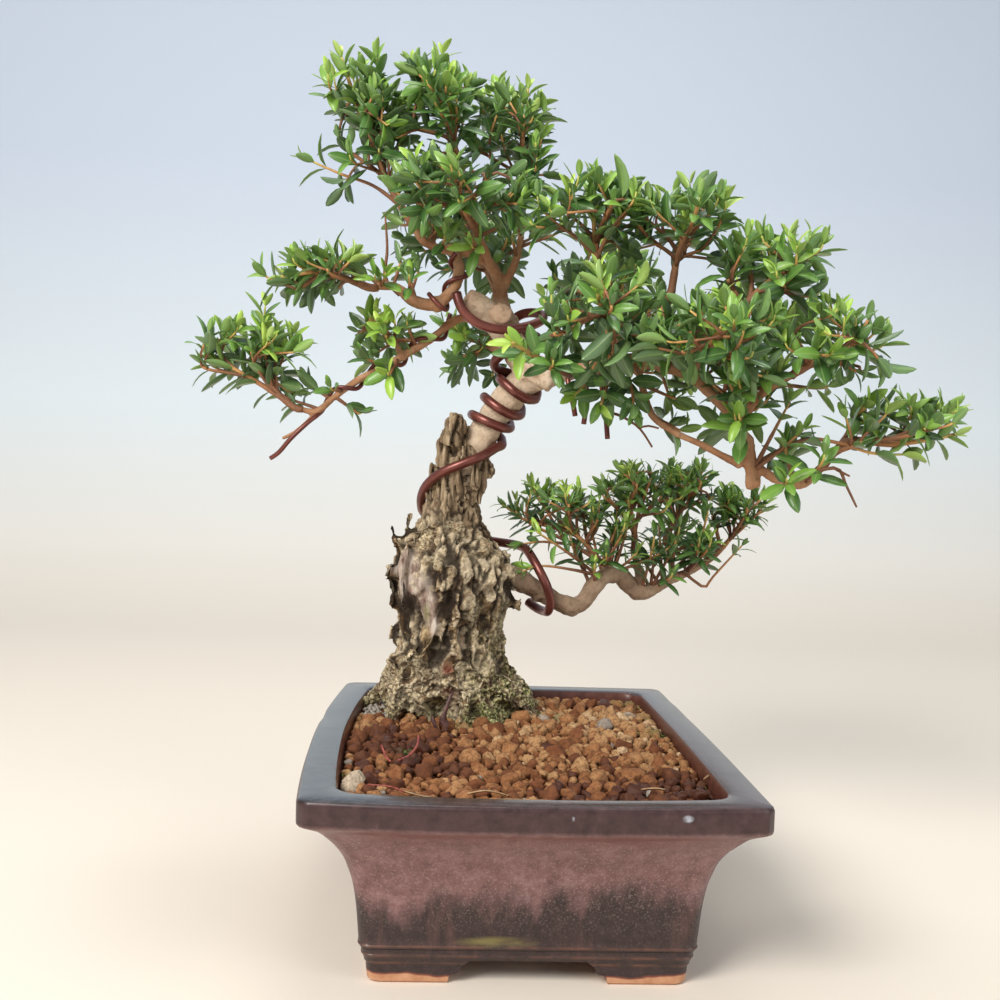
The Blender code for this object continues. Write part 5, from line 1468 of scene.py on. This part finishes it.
def make_granule_look():
    """Baked clay granules: orange-brown, paler where dry, dark and a little shiny where wet."""
    look = Look("granules", Specular_IOR_Level=0.3)
    kind = look.split(look.attribute("kind", "Vector"))
    grain = look.noise(1.1, 7.0, 0.7)
    patch = look.noise(3.4, 4.0, 0.6)
    tone = look.calc("ADD", kind[0], look.calc("MULTIPLY", look.calc("SUBTRACT", patch, 0.5), 0.42))
    colour = look.ramp(tone, [(0.05, (0.07, 0.02, 0.01)), (0.28, (0.2, 0.07, 0.027)),
                              (0.48, (0.355, 0.158, 0.062)), (0.7, (0.5, 0.285, 0.13)),
                              (0.95, (0.68, 0.5, 0.31))])
    colour = look.mix(look.ramp(grain, [(0.34, 0.85), (0.52, 0.0)]), colour, (0.09, 0.034, 0.014))
    stone = look.ramp(grain, [(0.3, (0.2, 0.18, 0.15)), (0.7, (0.56, 0.52, 0.45))])
    colour = look.mix(kind[1], colour, stone)
    green = look.ramp(grain, [(0.3, (0.02, 0.026, 0.008)), (0.7, (0.2, 0.21, 0.07))])
    colour = look.mix(look.calc("MULTIPLY", kind[2], look.ramp(patch, [(0.4, 0.2), (0.6, 1.0)]), True),
                      colour, green)
    rough = look.ramp(tone, [(0.05, 0.42), (0.22, 0.92)])
    return look.finish(colour, rough, [(grain, 0.5, 0.75), (look.noise(0.45, 2.0), 0.12, 0.5)])


# The wires.

def coil(route, clearance, plan, finer):
    """A wire wound round a limb: a helix that follows the limb's route at its own radius."""
    turns, points_a_turn, start, (begin, end) = plan
    fine = smooth_route(route, 1.0)
    first = int(begin * (len(fine) - 1))
    last = int(end * (len(fine) - 1))
    count = int(turns * points_a_turn * finer)
    wound = []
    for k in range(count + 1):
        part = first + (last - first) * k / count
        i = min(int(part), len(fine) - 2)
        here = Vector(fine[i][:3]).lerp(Vector(fine[i + 1][:3]), part - i)
        along = (Vector(fine[min(i + 3, len(fine) - 1)][:3]) - Vector(fine[max(i - 3,
                                                                               0)][:3])).normalized()
        side = along.cross(Vector((0.0, 1.0, 0.0))).normalized()
        other = along.cross(side)
        angle = math.radians(start) + 2 * math.pi * turns * k / count
        reach = fine[i][3] + clearance
        wound.append(tuple(here + side * (reach * math.cos(angle)) + other * (reach * math.sin(angle))))
    return wound


def lay_on(points, tree, distance):
    """Push a route out until all of it lies at least a distance from the wood, then even it out."""
    laid = [Vector(point) for point in points]
    for round_number in range(30):
        for k in range(1, len(laid) - 1):
            if round_number < 27:
                middle = (laid[k - 1] + laid[k + 1]) / 2
                laid[k] = laid[k].lerp(middle, 0.3).lerp(Vector(points[k]), 0.06)
        for k, point in enumerate(laid):
            near, normal, _, _ = tree.find_nearest(Vector(to_row(point)))
            near = (near - ORIGIN) / MM
            away = point - near
            inside = away.dot(normal) < 0
            gap = -away.length if inside else away.length
            if gap < distance:
                laid[k] = point + (normal if inside else away.normalized()) * (distance - gap)
    return [tuple(point) for point in laid]


# Short ends of wire that stand down from the heavy limb.
HANGING_ENDS = [
    [(20, 33, 228), (20.8, 31, 222), (22.5, 30, 216), (23.6, 29.5, 210.5)],
    [(28, 33, 229), (28.6, 31, 222), (28.4, 30, 214), (27.6, 29.5, 207)],
    [(36, 29, 231), (36.4, 26.5, 222), (37.2, 26, 211), (38.2, 25.5, 200.5)],
]


def make_wires(live):
    """The training wires, lacquered dark red-brown, with bare cut ends."""
    form = bmesh.new()
    form.from_mesh(live)
    thin_tree = BVHTree.FromBMesh(form)
    form.free()
    # The thick wire bears on the high places of the bark, so it is laid on the smoother CAD trunk.
    form = bmesh.new()
    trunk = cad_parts["trunk"]
    form.from_mesh(trunk.data)
    form.transform(trunk.matrix_world)
    thick_tree = BVHTree.FromBMesh(form)
    form.free()
    lacquer = Look("wire_lacquer", Metallic=0.55, Coat_Weight=0.25, Coat_Roughness=0.25)
    broad = lacquer.noise(14.0, 3.0)
    fine = lacquer.noise(1.4, 5.0, 0.7)
    tone = lacquer.ramp(broad, [(0.3, (0.105, 0.026, 0.02)), (0.7, (0.215, 0.062, 0.046))])
    tone = lacquer.mix(lacquer.ramp(fine, [(0.62, 0.0), (0.75, 0.5)]), tone, (0.3, 0.16, 0.13))
    lacquer = lacquer.finish(tone, lacquer.ramp(fine, [(0.3, 0.3), (0.7, 0.46)]), [(fine, 0.04, 0.3)])
    bare = Look("bare_wire_end", Metallic=0.9)
    grain = bare.noise(0.6, 3.0)
    bare = bare.finish(bare.ramp(grain, [(0.3, (0.34, 0.33, 0.32)), (0.7, (0.62, 0.6, 0.58))]),
                       bare.ramp(grain, [(0.3, 0.35), (0.7, 0.55)]))

    coils = coil(list(reversed(LIMBS["neck"])), WIRE_RADIUS + COIL_SLACK, TRUNK_COIL, 2)
    thick = smooth_route([(*p, 0) for p in WIRE_ROUND_STUB], 3.0)[:, :3].tolist() + coils
    thick += smooth_route([(*p, 0) for p in WIRE_DOWN_TRUNK], 3.0)[:, :3].tolist()
    thin = THIN_WIRE_RADIUS + COIL_SLACK
    branch = coil(LIMBS["left"][1:], thin, LEFT_COIL, 2)
    branch += smooth_route([(*p, 0) for p in THIN_WIRE_TAIL], 2.0)[:, :3].tolist()
    bend = coil(LIMBS["u_limb"], thin, CROWN_COIL, 2)
    for name, route, radius, sides, tree in (
            ("trunk_wire", thick, WIRE_RADIUS, 18, thick_tree),
            ("left_branch_wire", branch, THIN_WIRE_RADIUS, 12, thin_tree),
            ("crown_wire", bend, THIN_WIRE_RADIUS, 12, thin_tree)):
        laid = lay_on(route, tree, radius + WIRE_GAP * 0.6)
        rows = smooth_route([(*point, radius) for point in laid], radius * 0.6)
        rows[:, 3] = radius
        points, faces = tube(rows, sides, 0.0)
        mesh = new_mesh(name + "_fine", points, faces)
        piece = put(name + "_fine", mesh, [lacquer, bare], "wire", name)
        ends = len(points) - 2
        for face in piece.data.polygons:
            if any(i >= ends for i in face.vertices):
                face.material_index = 1
                face.use_smooth = False
    groups = [tube([(*row[:3], 1.2) for row in smooth_route([(*p, 1.2) for p in route], 1.0)], 10, 0.0)
              for route in HANGING_ENDS]
    points, faces, _ = stack(groups)
    put("hanging_wire_ends", new_mesh("hanging_wire_ends", points, faces), [lacquer], "wire",
        "trunk_wire")


# The leaves and twigs.

def leaf_shape(bend, fold):
    """One leaf along +x with its upper face to +z: a pointed ellipse, folded on its midrib and arched.

    Gives the points, the faces and, for each point, its place along and across the leaf and its face."""
    stations = [(0.0, 0.0), (0.09, 0.36), (0.26, 0.84), (0.5, 1.0), (0.74, 0.86), (0.92, 0.44),
                (1.0, 0.0)]
    points = []
    marks = []
    for face, lift in ((0.0, 0.5), (1.0, -0.5)):
        for u, wide in stations:
            drop = -bend * u * u + 0.1 * bend * math.sin(math.pi * u)
            thick = lift * LEAF_THICKNESS / LEAF_LENGTH * min(1.0, wide * 2 + 0.25)
            sides = (0.0,) if wide == 0 else (-1.0, 0.0, 1.0)
            for v in sides:
                z = drop + thick * (1.0 if v == 0 else 0.15) + fold * abs(v) * wide
                points.append((u, v * wide * 0.5 * LEAF_WIDTH / LEAF_LENGTH, z))
                marks.append((u, v * wide, face))
    half = len(points) // 2
    faces = []
    starts = [0, 1, 4, 7, 10, 13, 16]
    for side in (0, half):
        flip = side > 0
        some = [(0, 1, 2), (0, 2, 3)]
        for k in range(1, 5):
            a = starts[k]
            b = starts[k + 1]
            some += [(a, b, b + 1, a + 1), (a + 1, b + 1, b + 2, a + 2)]
        last = starts[5]
        some += [(last, starts[6], last + 1), (last + 1, starts[6], last + 2)]
        for face in some:
            face = tuple(side + i for i in face)
            faces.append(face if flip else tuple(reversed(face)))
    # The two skins meet round the edge.
    edge = [0, 1, 4, 7, 10, 13, 16, 15, 12, 9, 6, 3]
    for a, b in zip(edge, edge[1:] + edge[:1]):
        faces.append((a, b, half + b, half + a))
    return np.array(points), faces, np.array(marks)


def twig_path(start, lead, end, bow):
    """A twig's path: it leaves along lead and curves up to its end."""
    length = np.linalg.norm(end - start)
    first = start + lead * length * 0.38
    second = end - np.array([0.0, 0.0, 1.0]) * length * bow
    steps = max(4, int(length / 3.0))
    t = np.linspace(0, 1, steps + 1)[:, None]
    return start * (1 - t) ** 3 + first * 3 * t * (1 - t) ** 2 + second * 3 * t * t * (1 - t) + end * t ** 3


class Foliage:
    """Gathers the twigs and leaves of one spray."""

    def __init__(self, draw, size, fresh):
        self.draw = draw
        self.size = size
        self.fresh = fresh
        self.twigs = []
        self.ages = []
        self.leaves = []

    def add_twig(self, path, thick, thin, youth):
        """A tapering twig. youth is how green its tip is."""
        t = np.linspace(0, 1, len(path))
        rows = np.column_stack((path, thick + (thin - thick) * t))
        nodes = 1 + 0.16 * np.array([self.draw.random() for _ in path])
        rows[:, 3] *= nodes
        sides = 7 if thick > 1.2 else 5
        self.twigs.append(tube(rows, sides, 0.5))
        green = np.clip((t - 0.35) / 0.65, 0, 1) * youth
        self.ages.append(np.concatenate((np.repeat(green, sides), [green[0], green[-1]])))

    def add_leaves(self, path, begin, spacing, youth, big):
        """Opposite pairs along a path from begin (0 to 1) to its tip, each pair turned a right angle."""
        draw = self.draw
        steps = np.linalg.norm(np.diff(path, axis=0), axis=1)
        run = np.concatenate(([0.0], np.cumsum(steps)))
        total = run[-1]
        where = total
        quarter = draw.uniform(0, math.pi)
        pair = 0
        while where > begin * total:
            here = np.array([np.interp(where, run, path[:, k]) for k in range(3)])
            back = np.array([np.interp(max(where - 1.0, 0), run, path[:, k]) for k in range(3)])
            ahead = here - back
            ahead /= max(np.linalg.norm(ahead), 1e-9)
            away = total - where
            tip_share = math.exp(-away / (9.0 * self.size))
            age = youth * math.exp(-away / (17.0 * self.size)) + draw.gauss(0, 0.06)
            grown = 0.5 + 0.5 * (1 - tip_share) if pair else 0.46
            lean = math.radians(20 + 44 * (1 - tip_share)) + draw.gauss(0, 0.13)
            for side in (0.0, math.pi):
                if pair > 1 and draw.random() < 0.07:
                    continue
                spin = quarter + side + draw.gauss(0, 0.15)
                length = 1.2 * LEAF_LENGTH * self.size * big * grown * draw.uniform(0.8, 1.14)
                self.leaves.append((here, ahead, spin, lean + draw.gauss(0, 0.12), length, age,
                                    draw.random()))
            quarter += math.pi / 2
            where -= 1.12 * spacing * self.size * (0.55 + 0.45 * (1 - tip_share)) * draw.uniform(0.85,
                                                                                                 1.15)
            pair += 1

    def meshes(self, name, shapes):
        """The spray's leaves and twigs as two meshes."""
        groups = []
        kinds = []
        for here, ahead, spin, lean, length, age, chance in self.leaves:
            side = np.cross(ahead, (0.0, 0.0, 1.0))
            if np.linalg.norm(side) < 0.15:
                side = np.cross(ahead, (0.0, 1.0, 0.0))
            side /= np.linalg.norm(side)
            other = np.cross(side, ahead)
            out = side * math.cos(spin) + other * math.sin(spin)
            axis = ahead * math.cos(lean) + out * math.sin(lean)
            face = ahead * math.sin(lean) - out * math.cos(lean)
            # Leaves twist a little to turn their upper faces to the light.
            face = face + np.array([0.0, 0.0, 0.55])
            face -= axis * face.dot(axis)
            face /= max(np.linalg.norm(face), 1e-9)
            width = np.cross(face, axis)
            points, faces, marks = shapes[int(chance * len(shapes)) % len(shapes)]
            slim = 0.78 if self.size < 0.9 else 0.94
            made = np.outer(points[:, 0], axis) + np.outer(points[:, 1] * slim,
                                                           width) + np.outer(points[:, 2], face)
            made = made * length + here + out * 0.5
            lowest = to_row(made.min(0))
            highest = to_row(made.max(0))
            if (lowest < np.array(cad_low)).any() or (highest > np.array(cad_high)).any():
                continue
            groups.append((made, faces))
            kinds.append(np.column_stack((marks, np.full(len(marks), age), np.full(len(marks), chance))))
        points, faces, _ = stack(groups)
        kinds = np.vstack(kinds)
        leaves = new_mesh(name + "_leaves", points, faces)
        write(leaves, "blade", kinds[:, :3])
        write(leaves, "age", kinds[:, 3])
        write(leaves, "chance", kinds[:, 4])
        points, faces, _ = stack(self.twigs)
        twigs = new_mesh(name + "_twigs", points, faces)
        write(twigs, "green", np.concatenate(self.ages))
        return leaves, twigs


def spray_stem(plan):
    """The rows of a spray's stem, from the end of its limb on."""
    limb, further, _, _, _ = plan
    last = LIMBS[limb][-1]
    before = np.array(LIMBS[limb][-2][:3], float)
    tip = np.array(last[:3], float)
    way = (tip - before) / np.linalg.norm(tip - before)
    radius = last[3] * 0.92
    rows = [(*(tip - way * 2.0), radius), (*(tip + way * 2.0), radius)]
    for k, point in enumerate(further):
        rows.append((*point, radius + (0.7 - radius) * (k + 1) / len(further)))
    return smooth_route(rows, 2.0)


def on_ball(k, count, draw):
    """Even directions over a ball, a little random."""
    height = 1 - 2 * (k + 0.5) / count
    ring = math.sqrt(max(0.0, 1 - height * height))
    angle = k * GOLDEN_ANGLE + draw.uniform(-0.35, 0.35)
    return np.array([ring * math.cos(angle), ring * math.sin(angle), height])


def make_spray(name, plan, draw, shapes, looks):
    """One spray: its stem, boughs that part from it, and leafy shoots that fill its room."""
    middle, room = plan[2:4]
    low = name.startswith("low")
    foliage = Foliage(draw, LOW_LEAF_SIZE if low else 1.0, 1.0)
    lift = RISES.get(name, 0.12)
    middle = np.array(middle, float)
    room = np.array(room, float)
    stem = spray_stem(plan)
    foliage.add_twig(stem[:, :3], stem[0, 3], 0.7, 0.7)
    foliage.add_leaves(stem[:, :3], 0.3 if name in UPRIGHT else 0.62, STEM_PAIRS, 0.9, 1.0)
    volume = float(np.prod(room)) ** (1 / 3)
    boughs = max(4, int(round(volume / 4.4))) if not low else max(5, int(round(volume / 3.4)))
    shoots = SHOOTS.get(name, 3)
    for k in range(boughs):
        way = on_ball(k, boughs, draw)
        way[2] = way[2] * 0.8 + lift
        end = middle + way * room * draw.uniform(0.38, 0.8)
        reach = np.linalg.norm(stem[:, :3] - end, axis=1)
        near = int(reach.argmin())
        start_at = max(1, int(near * draw.uniform(0.45, 0.8)))
        start = stem[start_at, :3]
        lead = stem[min(start_at + 1, len(stem) - 1), :3] - stem[start_at - 1, :3]
        lead = (lead / max(np.linalg.norm(lead), 1e-9)
                + 0.9 * (end - start) / max(np.linalg.norm(end - start), 1e-9))
        lead /= np.linalg.norm(lead)
        path = twig_path(start, lead, end, 0.18)
        thick = min(stem[start_at, 3] * 0.75, 1.5)
        foliage.add_twig(path, thick, 0.62, 0.4)
        foliage.add_leaves(path, 0.62, BOUGH_PAIRS, 0.35, 1.0)
        for _ in range(shoots):
            t = draw.uniform(0.15, 1.0)
            at = min(int(t * (len(path) - 1)), len(path) - 2)
            base = path[at]
            aim = way * 0.55 + np.array([draw.gauss(0, 0.42), draw.gauss(0, 0.42),
                                         draw.gauss(0.13 + lift, 0.36)])
            aim /= np.linalg.norm(aim)
            tip = middle + aim * room * draw.uniform(0.8, 1.0)
            span = np.linalg.norm(tip - base)
            longest = (LONGEST_SHOOT if not low else LONGEST_LOW_SHOOT) * draw.uniform(0.6, 1.3)
            if span > longest:
                tip = base + (tip - base) * longest / span
            way_on = path[at + 1] - path[at]
            way_on = way_on / max(np.linalg.norm(way_on), 1e-9) + 0.8 * aim
            way_on /= np.linalg.norm(way_on)
            shoot = twig_path(base, way_on, tip, 0.24)
            foliage.add_twig(shoot, 0.7, 0.38, 1.0)
            above = (tip[2] - middle[2]) / room[2]
            foliage.add_leaves(shoot, 0.18, SHOOT_PAIRS, 0.52 + 0.32 * above + draw.uniform(-0.2, 0.3), 1.0)
    for limb_name, span, count, reach, lift in LIMB_SHOOTS.get(name, ()):
        route = np.array(smooth_route(LIMBS[limb_name], 1.5))
        for _ in range(count):
            at = int(draw.uniform(*span) * (len(route) - 2)) + 1
            along = route[at + 1 if at + 1 < len(route) else at, :3] - route[at - 1, :3]
            along /= max(np.linalg.norm(along), 1e-9)
            aim = np.array([draw.gauss(0, 0.6), draw.gauss(0, 0.6), draw.gauss(lift, 0.35)]) + along * 0.5
            aim -= along * aim.dot(along) * 0.6
            aim /= max(np.linalg.norm(aim), 1e-9)
            base = route[at, :3] + aim * route[at, 3] * 0.5
            length = draw.uniform(*reach)
            shoot = twig_path(base, aim, base + aim * length + np.array([0, 0, 0.12 * length * lift]),
                              0.2)
            foliage.add_twig(shoot, min(0.9, route[at, 3] * 0.6), 0.4, 0.9)
            foliage.add_leaves(shoot, 0.3, 6.0, draw.uniform(0.3, 0.9), 1.0)
    for path, youth, begin, thick in HAND_SHOOTS.get(name, ()):
        shoot = smooth_route([(*point, 1.0) for point in path], 2.5)[:, :3]
        foliage.add_twig(shoot, thick, 0.42, youth)
        if begin < 1:
            foliage.add_leaves(shoot, begin, 6.6, youth, 1.05)
    leaves, twigs = foliage.meshes(name, shapes)
    put("leaves_" + name, leaves, [looks[0]], "leaf", "spray_" + name)
    put("twigs_" + name, twigs, [looks[1]], "leaf", "spray_" + name)


# Shoots that spring from the limbs between the sprays: the spray they count with, then the limb, the
# part of it they stand on, their number, their lengths and how much they rise.
LIMB_SHOOTS = {
    "canopy_front_mid": [("right", (0.4, 0.85), 12, (16, 34), 1.0)],
    "canopy_front_left": [("right", (0.2, 0.5), 7, (14, 28), 0.5),
                          ("cross", (0.05, 0.5), 3, (12, 24), 0.4)],
    "far_right": [("right_low", (0.3, 1.0), 4, (12, 26), 0.7), ("right", (0.85, 1.0), 2, (14, 26), 1.2)],
    "canopy_right": [("far_up", (0.1, 0.9), 8, (14, 30), 0.5)],
    "canopy_top_left": [("up_left", (0.2, 0.9), 6, (14, 28), 0.3)],
    "canopy_top_mid": [("up_mid", (0.2, 0.9), 6, (14, 28), 0.3)],
    "canopy_top_right": [("up_right", (0.2, 0.9), 6, (14, 28), 0.3)],
    "canopy_back_left": [("back_left", (0.2, 0.9), 7, (14, 30), 0.3)],
    "canopy_back_right": [("back_right", (0.2, 0.9), 8, (14, 30), 0.2)],
    "crown_left": [("crown", (0.75, 1.0), 6, (10, 24), 0.6)],
    "crown_mid": [("top", (0.2, 1.0), 5, (12, 26), 0.5)],
    "crown_right": [("top_right", (0.3, 1.0), 5, (12, 26), 0.4)],
    "crown_front": [("crown_front", (0.3, 1.0), 5, (10, 22), 0.3)],
    "crown_back": [("crown_back", (0.3, 1.0), 6, (12, 26), 0.3)],
    "left_upper": [("u_limb", (0.55, 1.0), 7, (10, 22), 0.5)],
    "left_lower": [("left", (0.35, 0.98), 9, (9, 20), 0.2)],
    "low_mid": [("low", (0.42, 0.98), 24, (12, 34), 0.9)],
    "low_left": [("low_left", (0.0, 1.0), 8, (12, 30), 0.7)],
    "low_right": [("low_right", (0.0, 1.0), 7, (10, 24), 0.6)],
}
# Single shoots and bare twigs that the photo shows: their points, how green they are, where their
# leaves begin (1: a dead twig) and their thickness at the root.
HAND_SHOOTS = {
    "far_right": [([(124, -12, 189), (131.5, -14, 190), (135, -15, 183), (139.5, -16, 174)], 0.0, 1.0,
                   0.8),
                  ([(131, -14, 189.5), (136, -16, 187)], 0.0, 1.0, 0.6),
                  ([(97, -6, 190), (106, -8, 196), (118, -12, 202), (131, -14, 201), (146, -15, 197),
                    (162, -16, 197)], 0.9, 0.55, 1.1),
                  ([(98, -7, 190), (104, -10, 204), (110.5, -12, 218)], 0.6, 0.6, 1.1),
                  ([(98, -8, 189), (107, -12, 197), (116, -14, 206)], 0.6, 0.55, 1.0)],
    "canopy_front_left": [([(34, 26, 229), (35, 14, 214), (42, 8, 210), (49, 4, 205), (54.5, 2, 197)],
                           0.0, 1.0, 0.8),
                          ([(49, 4, 205), (52, 0, 206), (56, -4, 205)], 0.0, 1.0, 0.5),
                          ([(40, 20, 232), (34, 2, 222), (30, -10, 214)], 0.6, 0.2, 0.9),
                          ([(44, 18, 232), (44, 0, 224), (44, -12, 212)], 0.4, 0.3, 0.9),
                          ([(36, 24, 231), (26, 10, 224), (20, 0, 218)], 0.7, 0.25, 0.9)],
    "low_tip": [([(84, 94, 133), (89, 94, 135), (95, 93, 131), (100, 92, 128.5), (104, 92, 134),
                  (118, 92, 150)], 0.5, 0.82, 0.9)],
    "low_left": [([(44, 82, 141), (26, 80, 151), (10, 78, 158), (-6, 77, 168)], 0.8, 0.45, 1.1),
                 ([(30, 80, 149), (14, 78, 150), (2, 76, 148)], 0.7, 0.4, 0.9),
                 ([(26, 80, 151), (16, 78, 166), (8, 77, 178)], 0.8, 0.4, 0.9),
                 ([(43, 80, 134), (30, 72, 137), (14, 66, 139), (4, 60, 136.5)], 0.6, 0.75, 0.9),
                 ([(43, 80, 134), (26, 66, 146), (10, 58, 156)], 0.8, 0.4, 0.9)],
    "left_lower": [([(-106, 36, 213), (-114, 37, 219), (-119, 37, 228), (-119.5, 37, 243),
                     (-118.5, 37, 256)], 0.9, 0.35, 1.0)],
    "crown_left": [([(-56, 45, 303), (-71, 46, 314), (-87, 45, 319), (-103, 44, 325)], 0.8, 0.7, 1.0),
                   ([(-58, 42, 264), (-65, 44, 272), (-64.5, 44, 285), (-66, 44, 302)], 0.0, 1.0, 1.0)],
    "crown_right": [([(-26, 50, 312), (-13, 50, 315.4), (1.5, 48, 315.5)], 0.0, 1.0, 0.6)],
}
# How strongly the shoots of a spray rise, where it isn't the usual 0.12.
RISES = {"crown_left": 0.2, "crown_mid": 0.2, "crown_right": 0.2, "left_lower": 0.3, "left_upper": 0.3,
         "canopy_top_left": 0.35, "canopy_top_mid": 0.35, "canopy_top_right": 0.3, "low_left": 0.45,
         "low_mid": 0.5, "low_right": 0.5, "low_tip": 0.45, "far_right": 0.3}
UPRIGHT = ("crown_left", "crown_mid", "crown_right", "canopy_top_left", "left_lower", "left_upper")

# How many shoots each bough of a spray bears, where it isn't the usual number.
SHOOTS = {"crown_left": 4, "crown_mid": 4, "crown_right": 4, "far_right": 3, "left_lower": 3,
          "left_inner": 3, "back_low": 3, "front_shoot": 1}


def make_leaf_look():
    """Glossy leathery leaves: dark when old, yellow-green when young, paler below, with a pale midrib."""
    look = Look("leaf", Roughness=0.4, Specular_IOR_Level=0.5, Coat_Weight=0.22, Coat_Roughness=0.2)
    blade = look.split(look.attribute("blade", "Vector"))
    age = look.attribute("age")
    chance = look.attribute("chance")
    patch = look.noise(5.0, 3.0)
    tone = look.calc("ADD", age, look.calc("MULTIPLY", look.calc("SUBTRACT", chance, 0.5), 0.3))
    tone = look.calc("ADD", tone, look.calc("MULTIPLY", look.calc("SUBTRACT", patch, 0.5), 0.16))
    colour = look.ramp(tone, [(0.0, (0.03, 0.082, 0.022)), (0.22, (0.062, 0.16, 0.032)),
                              (0.45, (0.14, 0.3, 0.045)), (0.7, (0.3, 0.51, 0.06)),
                              (0.95, (0.5, 0.68, 0.11))])
    under = look.mix(0.45, colour, (0.17, 0.26, 0.13))
    colour = look.mix(blade[2], colour, under)
    across = look.calc("ABSOLUTE", blade[1])
    rib = look.ramp(across, [(0.0, 0.55), (0.1, 0.0)])
    slant = look.calc("SUBTRACT", look.calc("MULTIPLY", blade[0], 9.0),
                      look.calc("MULTIPLY", across, 2.6))
    wave = look.calc("SINE", look.calc("MULTIPLY", slant, 6.2832))
    vein = look.ramp(wave, [(0.8, 0.0), (1.0, 0.22)])
    colour = look.mix(vein, colour, look.mix(0.5, colour, (0.3, 0.42, 0.14)))
    colour = look.mix(rib, colour, (0.33, 0.45, 0.15))
    return look.finish(colour, look.ramp(patch, [(0.3, 0.34), (0.7, 0.46)]),
                       [(vein, 0.05, 0.4), (rib, 0.08, 0.5)])


def make_twig_look():
    """Twigs: brown and flaking when old, orange-brown, then yellow-green towards the tip."""
    look = Look("twig", Roughness=0.6, Specular_IOR_Level=0.35)
    grain = look.noise(1.2, 5.0, 0.65)
    green = look.calc("ADD", look.attribute("green"),
                      look.calc("MULTIPLY", look.calc("SUBTRACT", grain, 0.5), 0.25))
    colour = look.ramp(green, [(0.0, (0.23, 0.105, 0.055)), (0.25, (0.45, 0.205, 0.085)),
                               (0.55, (0.64, 0.37, 0.13)), (0.85, (0.5, 0.5, 0.12))])
    colour = look.mix(look.ramp(grain, [(0.32, 0.6), (0.44, 0.0)]), colour, (0.11, 0.04, 0.02))
    return look.finish(colour, None, [(grain, 0.15, 0.5)])


def make_foliage():
    """Every spray, each with its own draws, so that one can change without the others."""
    shapes = [leaf_shape(bend, fold) for bend, fold in ((0.06, 0.03), (0.16, 0.05), (0.28, 0.05),
                                                        (0.02, 0.06),
                                                        (0.4, 0.03))]
    looks = (make_leaf_look(), make_twig_look())
    for k, (name, plan) in enumerate(SPRAYS.items()):
        make_spray(name, plan, random.Random(FIRST_SPRAY_SEED + k), shapes, looks)


make_camera()
make_studio()
bpy.context.scene.view_settings.view_transform = "Standard"
make_pot()
dress_fittings()
old_wood, live_wood = make_wood()
put("old_trunk", old_wood, [make_bark()], "bark", "trunk")
put("live_limbs", live_wood, [make_limb_bark()], "bark", "trunk")

make_soil(random.Random(SOIL_SEED))
make_wires(live_wood)
make_foliage()
